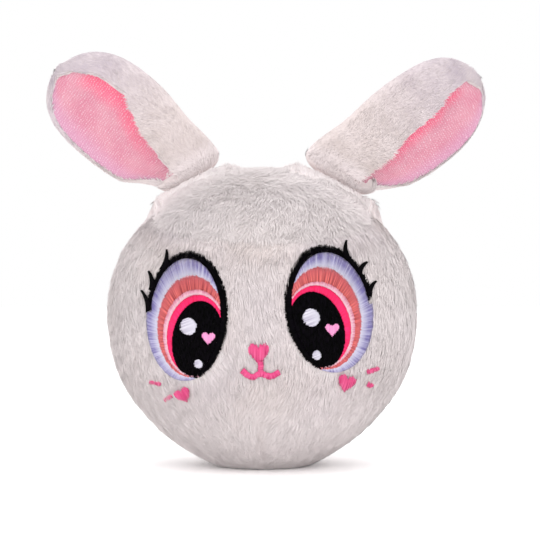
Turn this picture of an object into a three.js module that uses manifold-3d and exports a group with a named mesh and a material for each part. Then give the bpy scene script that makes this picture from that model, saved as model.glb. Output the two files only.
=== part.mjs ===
// Plush bunny hopper: an inflatable ball in a zipped plush cover, with two stuffed ears as handles.
// Millimetres, +Z up. The face looks along -Y, and the origin is the middle of the flat it rests on.
import * as THREE from 'three';
import { mergeVertices } from 'three/addons/utils/BufferGeometryUtils.js';
import Module from 'manifold-3d';

const wasm = await Module();
wasm.setup();

// Driving dimensions of the ball and its cover
const BALL_RADIUS = 190;
const REST_SQUASH = 6;
const CROWN_FLATTENING = 10;
const REST_HEIGHT = BALL_RADIUS - REST_SQUASH;
const CROWN_RISE = BALL_RADIUS - CROWN_FLATTENING;
const PLUSH = 8;
const GAP = 0.3;
const BALL_SEGMENTS = 36;
const BALL_RINGS = 14;
const SIDE_SEAM_Y = 12;
const CROWN_HALF_ANGLE = 47;
const CROWN_TILT = 13.5;

// Air bladder and its valve, which sits behind the zip
const BLADDER_WALL = 2;
const VALVE_ELEVATION = -29;
const VALVE_NECK_RADIUS = 7.2;
const VALVE_FLANGE_RADIUS = 12;
const VALVE_FLANGE_THICKNESS = 1.5;
const VALVE_LENGTH = 15;
const VALVE_BORE = 3.6;
const PLUG_HEAD_RADIUS = 5.2;
const PLUG_HEAD_THICKNESS = 1.6;
const PLUG_LENGTH = 10;
const PLUG_TRAVEL = 4.5;
const VALVE_SIDES = 20;
const FACET_SAG = 1.4;

// Zip along the middle of the lower back, given by elevation round the ball's centre
const ZIP_TOP = -4;
const ZIP_BOTTOM = -54;
const ZIP_OPENING = 16;
const TAPE_WIDTH = 13;
const TAPE_THICKNESS = 1.5;
const TAPE_DEPTH = 5;
const TEETH_PITCH = 6;
const TOOTH_THICKNESS = 2.4;
const TOOTH_REACH = 1.6;
const TOOTH_HEIGHT = 2.6;
const TOOTH_DROP = 0.3;
const BEAD_INNER = 3.1;
const BEAD_WIDTH = 1.4;
const TEETH_DEPTH = 3.2;
const TEETH_HEIGHT = 3.2;
const STOP_LENGTH = 3;
const STOP_DEPTH = 1;
const SLIDER_LENGTH = 16;
const SLIDER_WIDTH = 12;
const SLIDER_TAIL_WIDTH = 9;
const SLIDER_PLATE = 2;
const BRIDGE_WIDTH = 3;
const BRIDGE_LENGTH = 10;
const BRIDGE_BAR = 1.3;
const BRIDGE_CLEAR = 2.8;
const PULL_LENGTH = 28;
const PULL_WIDTH = 9;
const PULL_THICKNESS = 1.6;
const PULL_ARM = 2.2;
const PULL_WINDOW = 8;

// Ears, from the hinge line at the root to the tip
const EAR_PLACE = 29;
const EAR_ROOT_RADIUS = 20;
const EAR_ROOT_HALF_LENGTH = 46;
const EAR_SEAT_DEPTH = 5;
const EAR_SEAT_CLEARANCE = 0.5;
const EAR_HALF_WIDTH = 61;
const EAR_ROOT_HALF_WIDTH = 44;
const EAR_HALF_THICKNESS = 24;
const EAR_NECK_HALF_THICKNESS = 17;
const EAR_WALL = 5;
const EAR_RIM = 5;
const EAR_DISH = 0.12;
const EAR_CREASE = -0.12;
const EAR_ROLL_SOFTNESS = 0.28;
const EAR_WIDEST = 0.5;
const EAR_TIP_POWER = 2.7;
const EAR_TIP_BLUNT = 0.003;
const EAR_BEND_SHARE = 0.3;
const EAR_SIDES = 16;
const EAR_STEPS = 10;
const EAR_ROOT_SIDES = 18;
const EAR_ROOT_STEPS = 8;
const EAR_ROOT_POWER = 3;
const LINING_START = 0.06;
const LINING_TIP_MARGIN = 0.05;
const LINING_SEAT = 3;
const FILLING_START = 0.08;
const FILLING_TIP_MARGIN = 0.12;
const EARS = {
  left: { side: -1, length: 197, splay: 22.5, turn: 6 },
  right: { side: 1, length: 208, splay: 28.5, turn: 22 },
};

// Embroidery lies in a shallow recess of the plush
const EMBROIDERY_DEPTH = 2.5;
const EMBROIDERY_THICKNESS = 2;

// Eye bands as [sideways, height, half width, half height, lean toward the nose], from the ball's centre
const EYES = {
  left: {
    side: -1,
    outline: [87.4, 2.5, 46.4, 74, 4],
    lavender: [88.9, 1.5, 41, 67.5, 4],
    coral: [81, -9.5, 39.5, 59, 2],
    pale: [77.5, -16.5, 36.5, 50, 5],
    magenta: [75.8, -18.5, 33.5, 46.5, 6.5],
    pupil: [74, -22, 29, 42.5, 9],
    bigGlint: [84.4, -8.3, 9.6],
    smallGlint: [73, -50.9, 5],
    heart: [61.5, -21.4, 15],
    lashes: [[114.8, 60, 111.1, 79], [128.9, 37, 132.3, 54], [132.8, 11.5, 140.6, 31.5]],
  },
  right: {
    side: 1,
    outline: [77, 11, 50, 73, 10],
    lavender: [78.5, 10, 44.5, 66.5, 10],
    coral: [70, 1, 42.5, 58.5, 9],
    pale: [66, -6.5, 39.5, 49.5, 12],
    magenta: [64, -8, 36.5, 47, 13],
    pupil: [62, -11.5, 31.5, 43, 15],
    bigGlint: [55.2, 2.2, 10],
    smallGlint: [61.7, -40.9, 5.2],
    heart: [79.3, -12, 15.5],
    lashes: [[98.4, 71.7, 97, 89.5], [113.5, 53.8, 121.2, 64.7], [124.5, 29, 131.5, 42.6]],
  },
};
const LASH_HALF_WIDTH = 3;
const LASH_TIP_HALF_WIDTH = 0.8;
const OUTLINE_END = 7;
const OUTLINE_FOOT = -96;
const OPEN_SIDE_STEPS = 6;

// Nose, mouth and cheeks in the front elevation, from the ball's centre
const NOSE = { x: -4, z: -38, size: 25, tilt: 0 };
const MOUTH_POINTS = [[-23, -58], [-13, -66.5], [-2, -61], [9, -65.5], [19, -60]];
const MOUTH_HALF_WIDTH = 2.6;
const MOUTH_STEM_TOP = -47;
const CHEEKS = {
  left: {
    heart: { x: -91.5, z: -89, size: 19, tilt: 30 },
    upper_dash: { x: -125.2, z: -76.4, length: 15, tilt: -8 },
    lower_dash: { x: -110, z: -93.7, length: 12, tilt: 31 },
  },
  right: {
    heart: { x: 96.5, z: -75, size: 21, tilt: -16 },
    upper_dash: { x: 128.4, z: -60.9, length: 16, tilt: 15 },
    lower_dash: { x: 125.3, z: -78.8, length: 9, tilt: -23 },
  },
};
const DASH_HALF_WIDTH = 2.3;

// Colours of the cover, threads and hardware
const COLOURS = {
  plush: 0xe9e2e2,
  lining: 0xee9cbc,
  filling: 0xf4f2ee,
  bladder: 0xd9d4dc,
  valve: 0xc9c9cf,
  tape: 0xe6e0e2,
  teeth: 0xdedbe0,
  slider: 0xb9bcc2,
  black: 0x0c0a0e,
  lavender: 0xbdb6dc,
  coral: 0xde6e6e,
  pale: 0xf0bccb,
  magenta: 0xf83078,
  white: 0xf4f2f4,
  pink: 0xf0649b,
};

const MERGE_DISTANCE = 1e-4;
const CURVE_STEPS = 12;
const SMALL_CURVE_STEPS = 3;
const REACH = 2 * BALL_RADIUS;
const rad = THREE.MathUtils.degToRad;
const object = new THREE.Group();

// Solids: a closed geometry becomes a solid that can be cut, and goes back to a geometry
function solid(geometry) {
  const bare = geometry.clone();
  bare.deleteAttribute('normal');
  bare.deleteAttribute('uv');
  const merged = mergeVertices(bare, MERGE_DISTANCE);
  const index = merged.index.array;
  const corners = [];
  for (let i = 0; i < index.length; i += 3) {
    const [a, b, c] = index.slice(i, i + 3);
    if (a !== b && b !== c && c !== a) {
      corners.push(a, b, c);
    }
  }
  return new wasm.Manifold(new wasm.Mesh({
    numProp: 3,
    vertProperties: Float32Array.from(merged.attributes.position.array),
    triVerts: Uint32Array.from(corners),
  }));
}

function geometryOf(piece) {
  const mesh = piece.getMesh();
  const geometry = new THREE.BufferGeometry();
  geometry.setAttribute('position', new THREE.BufferAttribute(Float32Array.from(mesh.vertProperties), 3));
  geometry.setIndex(new THREE.BufferAttribute(Uint32Array.from(mesh.triVerts), 1));
  return geometry;
}

// A cut can leave crumbs where two curved edges cross, so the piece is its largest body
function largestBody(piece) {
  const bodies = piece.decompose();
  return bodies.reduce((best, body) => (body.volume() > best.volume() ? body : best));
}

function addPart(name, piece, colour, roughness, metalness = 0, parent = object) {
  const material = new THREE.MeshStandardMaterial({ color: colour, roughness, metalness });
  const mesh = new THREE.Mesh(geometryOf(largestBody(piece)), material);
  mesh.name = name;
  parent.add(mesh);
}

function block(low, high) {
  const size = high.map((value, axis) => value - low[axis]);
  const middle = high.map((value, axis) => (value + low[axis]) / 2);
  return new THREE.BoxGeometry(...size).translate(...middle);
}

// Ball surface drawn in by a depth, flat where it rests and a little flattened at the crown
function ballSolid(depth) {
  const radius = BALL_RADIUS - depth;
  const flat = REST_HEIGHT - depth;
  const start = -Math.asin(flat / radius);
  const profile = [new THREE.Vector2(0, depth)];
  for (let ring = 0; ring <= BALL_RINGS; ring += 1) {
    const elevation = start + (Math.PI / 2 - start) * ring / BALL_RINGS;
    const rise = elevation > 0 ? CROWN_RISE - depth : radius;
    const width = ring === BALL_RINGS ? 0 : radius * Math.cos(elevation);
    profile.push(new THREE.Vector2(width, REST_HEIGHT + rise * Math.sin(elevation)));
  }
  return solid(new THREE.LatheGeometry(profile, BALL_SEGMENTS).rotateX(Math.PI / 2));
}

// Prism along Y of a shape drawn in the front elevation, over the front of the ball
function frontPrism(shape, x, z, tilt, steps = CURVE_STEPS) {
  const geometry = new THREE.ExtrudeGeometry(shape, {
    depth: BALL_RADIUS,
    bevelEnabled: false,
    curveSegments: steps,
  });
  geometry.rotateZ(rad(tilt)).translate(x, z, 0).rotateX(Math.PI / 2).translate(0, 0, REST_HEIGHT);
  return solid(geometry);
}

// Ring sector round the ball's centre, in the middle plane at the back, given by depth and elevation
function zipSector(xLow, xHigh, depthOut, depthIn, lower, upper, steps = CURVE_STEPS) {
  const shape = new THREE.Shape();
  shape.absarc(0, 0, BALL_RADIUS - depthOut, rad(lower), rad(upper), false);
  shape.absarc(0, 0, BALL_RADIUS - depthIn, rad(upper), rad(lower), true);
  const geometry = new THREE.ExtrudeGeometry(shape, {
    depth: xHigh - xLow,
    bevelEnabled: false,
    curveSegments: steps,
  });
  geometry.translate(0, 0, xLow);
  const toMiddlePlane = new THREE.Matrix4().makeBasis(
    new THREE.Vector3(0, 1, 0),
    new THREE.Vector3(0, 0, 1),
    new THREE.Vector3(1, 0, 0),
  );
  return solid(geometry.applyMatrix4(toMiddlePlane).translate(0, 0, REST_HEIGHT));
}

// Frame on the back of the ball at an elevation: local X sideways, Y outward, Z up along the surface
function onBack(geometry, elevation, depth) {
  return geometry.translate(0, BALL_RADIUS - depth, 0).rotateX(rad(elevation)).translate(0, 0, REST_HEIGHT);
}

function degreesOf(arcLength) {
  return THREE.MathUtils.radToDeg(arcLength / BALL_RADIUS);
}

// Shapes of the embroidery
function ellipseShape(halfWidth, halfHeight) {
  return new THREE.Shape().absellipse(0, 0, halfWidth, halfHeight, 0, 2 * Math.PI, false);
}

function eyePrism(eye, band, grow = 0) {
  const [sideways, height, halfWidth, halfHeight, lean] = eye[band];
  const shape = ellipseShape(halfWidth + grow, halfHeight + grow);
  return frontPrism(shape, eye.side * sideways, height, eye.side * lean);
}

function heartShape(size, grow = 0) {
  const half = size / 2 + grow;
  const shape = new THREE.Shape();
  shape.moveTo(0, -0.95 * half);
  shape.bezierCurveTo(0.55 * half, -0.45 * half, 1.05 * half, 0.05 * half, half, 0.45 * half);
  shape.bezierCurveTo(0.9 * half, 1.0 * half, 0.2 * half, 1.0 * half, 0, 0.5 * half);
  shape.bezierCurveTo(-0.2 * half, 1.0 * half, -0.9 * half, 1.0 * half, -half, 0.45 * half);
  shape.bezierCurveTo(-1.05 * half, 0.05 * half, -0.55 * half, -0.45 * half, 0, -0.95 * half);
  return shape;
}

function dashShape(length, halfWidth) {
  const straight = Math.max(length / 2 - halfWidth, 0);
  const shape = new THREE.Shape();
  shape.absarc(straight, 0, halfWidth, -Math.PI / 2, Math.PI / 2, false);
  shape.absarc(-straight, 0, halfWidth, Math.PI / 2, 3 * Math.PI / 2, false);
  return shape;
}

// Line of thread with an even width along a smooth curve
function strokeShape(points, halfWidth) {
  const curve = new THREE.SplineCurve(points.map(([x, z]) => new THREE.Vector2(x, z)));
  const count = 4 * (points.length - 1);
  const near = [];
  const far = [];
  for (let step = 0; step <= count; step += 1) {
    const place = curve.getPoint(step / count);
    const along = curve.getTangent(step / count);
    near.push(new THREE.Vector2(place.x + along.y * halfWidth, place.y - along.x * halfWidth));
    far.unshift(new THREE.Vector2(place.x - along.y * halfWidth, place.y + along.x * halfWidth));
  }
  return new THREE.Shape([...near, ...far]);
}

function lashShape([x0, z0, x1, z1], side, grow = 0) {
  const base = new THREE.Vector2(side * x0, z0);
  const tip = new THREE.Vector2(side * x1, z1);
  const along = tip.clone().sub(base).normalize();
  const across = new THREE.Vector2(-along.y, along.x);
  const root = base.clone().addScaledVector(along, -LASH_HALF_WIDTH);
  const end = tip.clone().addScaledVector(along, grow);
  const corner = (place, width) => place.clone().addScaledVector(across, width);
  return new THREE.Shape([
    corner(root, -LASH_HALF_WIDTH - grow),
    corner(end, -LASH_TIP_HALF_WIDTH - grow),
    corner(end, LASH_TIP_HALF_WIDTH + grow),
    corner(root, LASH_HALF_WIDTH + grow),
  ]);
}

// Cover: a plush shell in four panels, with narrow gaps along the seams and a seat for each ear's root
let cover = ballSolid(0).subtract(ballSolid(PLUSH));
for (const ear of Object.values(EARS)) {
  cover = cover.subtract(solid(earRoot(EAR_SEAT_CLEARANCE).applyMatrix4(earGroup(ear).matrixWorld)));
}
const sideSeamFront = solid(block([-REACH, -REACH, -REACH], [REACH, SIDE_SEAM_Y - GAP / 2, 2 * REACH]));
const sideSeamBack = solid(block([-REACH, SIDE_SEAM_Y + GAP / 2, -REACH], [REACH, REACH, 2 * REACH]));

function crownSide(shift) {
  const cut = BALL_RADIUS * Math.cos(rad(CROWN_HALF_ANGLE)) + shift;
  const region = block([-REACH, -REACH, cut], [REACH, REACH, cut + REACH]);
  return solid(region.rotateX(rad(CROWN_TILT)).translate(0, 0, REST_HEIGHT));
}

const belowCrown = cover.subtract(crownSide(-GAP / 2));

// Ears: each stands on a frame whose X is the hinge line, Y the back and Z the ball's normal
function earGroup(ear) {
  const place = rad(EAR_PLACE);
  const normal = Math.atan2(Math.sin(place) / BALL_RADIUS, Math.cos(place) / CROWN_RISE);
  const lift = EAR_ROOT_RADIUS - EAR_SEAT_DEPTH;
  const x = BALL_RADIUS * Math.sin(place) + lift * Math.sin(normal);
  const z = CROWN_RISE * Math.cos(place) + lift * Math.cos(normal);
  const group = new THREE.Group();
  group.position.set(ear.side * x, 0, REST_HEIGHT + z);
  group.rotation.set(0, ear.side * normal, ear.side * rad(ear.turn), 'YZX');
  group.updateMatrixWorld();
  return group;
}

// Half width or half thickness at a share of the ear's length, swelling from the root and round at the tip
function earHalf(share, rootSize, fullSize) {
  if (share < EAR_WIDEST) {
    return rootSize + (fullSize - rootSize) * Math.sin(Math.PI / 2 * share / EAR_WIDEST);
  }
  return fullSize * Math.sqrt(1 - ((share - EAR_WIDEST) / (1 - EAR_WIDEST)) ** EAR_TIP_POWER);
}

// Fullness of the front: a thick roll on the inner side, a dish for the lining on the outer side
function earFront(across) {
  const intoDish = THREE.MathUtils.smoothstep(across, EAR_CREASE - EAR_ROLL_SOFTNESS, EAR_CREASE);
  return THREE.MathUtils.lerp(1, EAR_DISH, intoDish);
}

// Point of the ear's middle surface at a share of its length, sideways from its axis
function earPoint(ear, share, sideways) {
  const splay = rad(ear.splay);
  const lean = splay * Math.min(1, share / EAR_BEND_SHARE);
  const along = ear.length * share;
  return new THREE.Vector2(
    along * Math.sin(splay) + sideways * Math.cos(lean),
    along * Math.cos(splay) - sideways * Math.sin(lean),
  );
}

// Outline across the ear, drawn in by an inset: twice the inset at the two edges, which stay blunt
function earRing(ear, share, inset) {
  const halfWidth = earHalf(share, EAR_ROOT_HALF_WIDTH, EAR_HALF_WIDTH);
  const halfThickness = earHalf(share, EAR_NECK_HALF_THICKNESS, EAR_HALF_THICKNESS);
  const ring = [];
  for (let side = 0; side < EAR_SIDES; side += 1) {
    const angle = 2 * Math.PI * side / EAR_SIDES;
    const sideways = Math.cos(angle) * (halfWidth - 2 * inset);
    const across = sideways / halfWidth;
    const back = halfThickness * Math.sqrt(1 - across ** 2);
    const front = back * earFront(across);
    const onEdge = side % (EAR_SIDES / 2) === 0;
    const facing = onEdge ? 0 : Math.sign(Math.sin(angle));
    const point = earPoint(ear, share, sideways);
    const depth = (back - front) / 2 + facing * ((back + front) / 2 - inset);
    ring.push(new THREE.Vector3(point.x, depth, point.y));
  }
  return ring;
}

// Closed skin through a stack of rings, with a fan at each end
function loft(rings) {
  const sides = rings[0].length;
  const points = rings.flat();
  const corners = [];
  for (let ring = 0; ring < rings.length - 1; ring += 1) {
    for (let side = 0; side < sides; side += 1) {
      const next = (side + 1) % sides;
      const low = ring * sides;
      const high = low + sides;
      corners.push(low + side, low + next, high + next, low + side, high + next, high + side);
    }
  }
  const ends = [rings[0], rings[rings.length - 1]];
  ends.forEach((ring, end) => {
    const middle = points.length;
    const first = end * (rings.length - 1) * sides;
    points.push(ring.reduce((sum, point) => sum.add(point), new THREE.Vector3()).divideScalar(sides));
    for (let side = 0; side < sides; side += 1) {
      const next = (side + 1) % sides;
      corners.push(middle, first + (end ? side : next), first + (end ? next : side));
    }
  });
  const geometry = new THREE.BufferGeometry().setFromPoints(points);
  geometry.setIndex(corners);
  return solid(geometry);
}

function earLoft(ear, inset, start, end) {
  const rings = [];
  for (let step = 0; step <= EAR_STEPS; step += 1) {
    const even = step / EAR_STEPS;
    const share = start + (end - start) * Math.sin(Math.PI / 2 * even);
    rings.push(earRing(ear, share, inset));
  }
  return loft(rings);
}

// Window for the lining between the crease and the outer rim, through the front wall only
function liningWindow(ear, grow) {
  const outer = [];
  const inner = [];
  const end = 1 - LINING_TIP_MARGIN;
  const middle = (LINING_START + end) / 2;
  const half = (end - LINING_START) / 2 + grow / ear.length;
  for (let step = 0; step <= EAR_STEPS; step += 1) {
    const reach = -Math.cos(Math.PI * step / EAR_STEPS);
    const share = middle + half * reach;
    const width = earHalf(share, EAR_ROOT_HALF_WIDTH, EAR_HALF_WIDTH);
    const centre = (width - EAR_RIM + EAR_CREASE * width) / 2;
    const spread = ((width - EAR_RIM - EAR_CREASE * width) / 2 + grow) * Math.sqrt(1 - reach ** 4);
    outer.push(earPoint(ear, share, centre + spread));
    if (step > 0 && step < EAR_STEPS) {
      inner.unshift(earPoint(ear, share, centre - spread));
    }
  }
  const shape = new THREE.Shape([...outer, ...inner]);
  const geometry = new THREE.ExtrudeGeometry(shape, { depth: 3 * EAR_HALF_THICKNESS, bevelEnabled: false });
  return solid(geometry.rotateX(Math.PI / 2).translate(0, LINING_SEAT, 0));
}

// Rounded root turned about the hinge line, so that it rolls in its seat
function earRoot(grow) {
  const half = EAR_ROOT_HALF_LENGTH + grow;
  const profile = [];
  for (let step = 0; step <= EAR_ROOT_STEPS; step += 1) {
    const reach = -Math.cos(Math.PI * step / EAR_ROOT_STEPS);
    const radius = (EAR_ROOT_RADIUS + grow) * Math.sqrt(Math.max(1 - Math.abs(reach) ** EAR_ROOT_POWER, 0));
    profile.push(new THREE.Vector2(radius, half * reach));
  }
  return new THREE.LatheGeometry(profile, EAR_ROOT_SIDES).rotateZ(Math.PI / 2);
}

for (const [name, ear] of Object.entries(EARS)) {
  const group = earGroup(ear);
  const mirror = new THREE.Group();
  mirror.scale.x = ear.side;
  group.add(mirror);
  object.add(group);

  const slack = GAP / ear.length;
  const fillingEnd = 1 - FILLING_TIP_MARGIN;
  const outside = earLoft(ear, 0, 0, 1 - EAR_TIP_BLUNT).add(solid(earRoot(0)));
  const wall = outside.subtract(earLoft(ear, EAR_WALL, FILLING_START, fillingEnd));
  const filling = earLoft(ear, EAR_WALL + GAP, FILLING_START + slack, fillingEnd - slack);
  addPart(`${name}_ear_back`, wall.subtract(liningWindow(ear, GAP)), COLOURS.plush, 0.95, 0, mirror);
  addPart(`${name}_ear_lining`, wall.intersect(liningWindow(ear, 0)), COLOURS.lining, 0.7, 0, mirror);
  addPart(`${name}_ear_filling`, filling, COLOURS.filling, 0.95, 0, mirror);
}
addPart('crown_panel', cover.intersect(crownSide(GAP / 2)), COLOURS.plush, 0.95);

// Embroidery on the face, and the recess that it lies in
const embroideryFloor = EMBROIDERY_DEPTH + EMBROIDERY_THICKNESS;
const embroideryLayer = ballSolid(EMBROIDERY_DEPTH).subtract(ballSolid(embroideryFloor));
const recessLayer = ballSolid(-PLUSH).subtract(ballSolid(embroideryFloor + GAP));
let face = belowCrown.intersect(sideSeamFront);

function addThread(name, area, colour) {
  addPart(name, embroideryLayer.intersect(area), colour, 0.5);
}

function cutRecess(area) {
  face = face.subtract(recessLayer.intersect(area));
}

// Lower outer part of an eye, where the dark outline stops
function openSide(eye, inset) {
  const [sideways, height, , halfHeight] = eye.outline;
  const reach = 1.5 * halfHeight;
  const points = [new THREE.Vector2(0, 0)];
  const foot = OUTLINE_FOOT + inset;
  const end = OUTLINE_END - inset;
  for (let step = 0; step <= OPEN_SIDE_STEPS; step += 1) {
    const angle = rad(THREE.MathUtils.lerp(foot, end, step / OPEN_SIDE_STEPS));
    points.push(new THREE.Vector2(eye.side * reach * Math.cos(angle), reach * Math.sin(angle)));
  }
  return frontPrism(new THREE.Shape(points), eye.side * sideways, height, 0);
}

for (const [name, eye] of Object.entries(EYES)) {
  const whole = eyePrism(eye, 'outline');
  const inside = eyePrism(eye, 'lavender', -GAP);
  const openInset = THREE.MathUtils.radToDeg(GAP / eye.outline[2]);
  let outline = whole.subtract(eyePrism(eye, 'lavender')).subtract(openSide(eye, 0));
  let lavender = whole.intersect(inside.add(openSide(eye, openInset)));
  cutRecess(eyePrism(eye, 'outline', GAP));
  for (const lash of eye.lashes) {
    const lashRoom = frontPrism(lashShape(lash, eye.side, GAP), 0, 0, 0);
    const lashArea = frontPrism(lashShape(lash, eye.side), 0, 0, 0);
    outline = outline.add(lashArea.subtract(eyePrism(eye, 'lavender')));
    lavender = lavender.subtract(lashRoom.subtract(inside));
    cutRecess(lashRoom);
  }
  const band = (outer, inner) => inside.intersect(eyePrism(eye, outer)).subtract(eyePrism(eye, inner, GAP));
  addThread(`${name}_eye_lavender_band`, lavender.subtract(eyePrism(eye, 'coral', GAP)), COLOURS.lavender);
  addThread(`${name}_eye_coral_band`, band('coral', 'pale'), COLOURS.coral);
  addThread(`${name}_eye_pale_band`, band('pale', 'magenta'), COLOURS.pale);
  addThread(`${name}_eye_magenta_band`, band('magenta', 'pupil'), COLOURS.magenta);

  const disc = ([sideways, height, radius], grow) => {
    const shape = ellipseShape(radius + grow, radius + grow);
    return frontPrism(shape, eye.side * sideways, height, 0, 2 * SMALL_CURVE_STEPS);
  };
  const heart = ([sideways, height, size], grow) => (
    frontPrism(heartShape(size, grow), eye.side * sideways, height, 0, SMALL_CURVE_STEPS)
  );
  addThread(`${name}_eye_outline`, outline.subtract(disc(eye.smallGlint, GAP)), COLOURS.black);
  const pupil = inside.intersect(eyePrism(eye, 'pupil'))
    .subtract(disc(eye.bigGlint, GAP))
    .subtract(disc(eye.smallGlint, GAP))
    .subtract(heart(eye.heart, GAP));
  addThread(`${name}_eye_pupil`, pupil, COLOURS.black);
  addThread(`${name}_eye_large_glint`, disc(eye.bigGlint, 0), COLOURS.white);
  addThread(`${name}_eye_small_glint`, disc(eye.smallGlint, 0), COLOURS.white);
  addThread(`${name}_eye_heart`, heart(eye.heart, 0), COLOURS.pink);
}

const noseArea = (grow) => (
  frontPrism(heartShape(NOSE.size, grow), NOSE.x, NOSE.z, NOSE.tilt, SMALL_CURVE_STEPS)
);
const mouthArea = (grow) => {
  const line = frontPrism(strokeShape(MOUTH_POINTS, MOUTH_HALF_WIDTH + grow), 0, 0, 0);
  const [middleX, middleZ] = MOUTH_POINTS[2];
  const stemLength = MOUTH_STEM_TOP - middleZ + 2 * grow;
  const stemShape = dashShape(stemLength, MOUTH_HALF_WIDTH + grow);
  const stem = frontPrism(stemShape, middleX, (MOUTH_STEM_TOP + middleZ) / 2, 90, SMALL_CURVE_STEPS);
  return line.add(stem);
};
addThread('nose', noseArea(0), COLOURS.pink);
addThread('mouth', mouthArea(0).subtract(noseArea(GAP)), COLOURS.pink);
cutRecess(noseArea(GAP));
cutRecess(mouthArea(GAP));

for (const [side, cheek] of Object.entries(CHEEKS)) {
  for (const [mark, { x, z, size, length, tilt }] of Object.entries(cheek)) {
    const shape = (grow) => (
      size ? heartShape(size, grow) : dashShape(length + 2 * grow, DASH_HALF_WIDTH + grow)
    );
    addThread(`${side}_cheek_${mark}`, frontPrism(shape(0), x, z, tilt, SMALL_CURVE_STEPS), COLOURS.pink);
    cutRecess(frontPrism(shape(GAP), x, z, tilt, SMALL_CURVE_STEPS));
  }
}
addPart('face_panel', face, COLOURS.plush, 0.95);

// Back panels, open along the zip and rebated on the inside for its tapes
const openingHalf = ZIP_OPENING / 2;
const beadOuter = BEAD_INNER + BEAD_WIDTH;
const tapeInner = beadOuter + GAP;
const tapeOuter = tapeInner + TAPE_WIDTH;
const insideCover = PLUSH + BLADDER_WALL;
const zipOpening = zipSector(-openingHalf, openingHalf, -PLUSH, insideCover, ZIP_BOTTOM, ZIP_TOP);
const tapeRebate = zipSector(
  -tapeOuter - GAP, tapeOuter + GAP, TAPE_DEPTH - GAP, insideCover, ZIP_BOTTOM, ZIP_TOP,
);
const back = belowCrown.intersect(sideSeamBack).subtract(zipOpening).subtract(tapeRebate);
addPart(
  'back_panel_left',
  back.intersect(solid(block([-REACH, -REACH, -REACH], [-GAP / 2, REACH, 2 * REACH]))),
  COLOURS.plush, 0.95,
);
addPart(
  'back_panel_right',
  back.intersect(solid(block([GAP / 2, -REACH, -REACH], [REACH, REACH, 2 * REACH]))),
  COLOURS.plush, 0.95,
);

// Zip: tapes under the panel edges, teeth that mesh on the middle line, and a stop at each end
const endGap = degreesOf(GAP);
const stopSpan = degreesOf(STOP_LENGTH);
const chainTop = ZIP_TOP - 2 * endGap - stopSpan;
const chainBottom = ZIP_BOTTOM + 2 * endGap + stopSpan;
const toothCount = Math.floor((chainTop - chainBottom) / degreesOf(TEETH_PITCH));
const teethFloor = TEETH_DEPTH + TEETH_HEIGHT;

// X limits of a piece that lies beside the middle line, on the left (-1) or the right (1)
function beside(side, near, far) {
  return side > 0 ? [near, far] : [-far, -near];
}

for (const [name, side] of [['left', -1], ['right', 1]]) {
  const tape = zipSector(
    ...beside(side, tapeInner, tapeOuter),
    TAPE_DEPTH, TAPE_DEPTH + TAPE_THICKNESS, ZIP_BOTTOM + endGap, ZIP_TOP - endGap,
  );
  addPart(`zip_tape_${name}`, tape, COLOURS.tape, 0.85);

  const bead = beside(side, BEAD_INNER, beadOuter);
  let comb = zipSector(...bead, TEETH_DEPTH, teethFloor, chainBottom, chainTop);
  const phase = side > 0 ? 0.25 : 0.75;
  const [toothLow, toothHigh] = beside(side, -TOOTH_REACH, BEAD_INNER + BEAD_WIDTH / 2);
  for (let count = 0; count < toothCount; count += 1) {
    const tooth = block(
      [toothLow, -TOOTH_HEIGHT, -TOOTH_THICKNESS / 2],
      [toothHigh, 0, TOOTH_THICKNESS / 2],
    );
    const elevation = chainTop - degreesOf(TEETH_PITCH) * (count + phase);
    comb = comb.add(solid(onBack(tooth, elevation, TEETH_DEPTH + TOOTH_DROP)));
  }
  addPart(`zip_teeth_${name}`, comb, COLOURS.teeth, 0.4);
}

const stopHalf = tapeInner - GAP;

function zipStop(lower) {
  return zipSector(-stopHalf, stopHalf, STOP_DEPTH, teethFloor, lower, lower + stopSpan, 1);
}

addPart('zip_top_stop', zipStop(ZIP_TOP - endGap - stopSpan), COLOURS.slider, 0.35, 0.8);
addPart('zip_bottom_stop', zipStop(ZIP_BOTTOM + endGap), COLOURS.slider, 0.35, 0.8);

// Slider: a tapered plate with a bridge, parked just under the top stop
const sliderElevation = chainTop - degreesOf(SLIDER_LENGTH / 2 + 3 * GAP);
const sliderDepth = TEETH_DEPTH - GAP;

function sliderPlate() {
  const half = SLIDER_WIDTH / 2;
  const tail = SLIDER_TAIL_WIDTH / 2;
  const end = SLIDER_LENGTH / 2;
  const shape = new THREE.Shape();
  shape.moveTo(-tail, -end);
  shape.lineTo(tail, -end);
  shape.lineTo(tail, 0);
  shape.quadraticCurveTo(half, end / 4, half, end / 2);
  shape.quadraticCurveTo(half, end, half / 2, end);
  shape.lineTo(-half / 2, end);
  shape.quadraticCurveTo(-half, end, -half, end / 2);
  shape.quadraticCurveTo(-half, end / 4, -tail, 0);
  const geometry = new THREE.ExtrudeGeometry(shape, {
    depth: SLIDER_PLATE,
    bevelEnabled: false,
    curveSegments: 4,
  });
  return geometry.rotateX(Math.PI / 2).translate(0, SLIDER_PLATE, 0);
}

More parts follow.
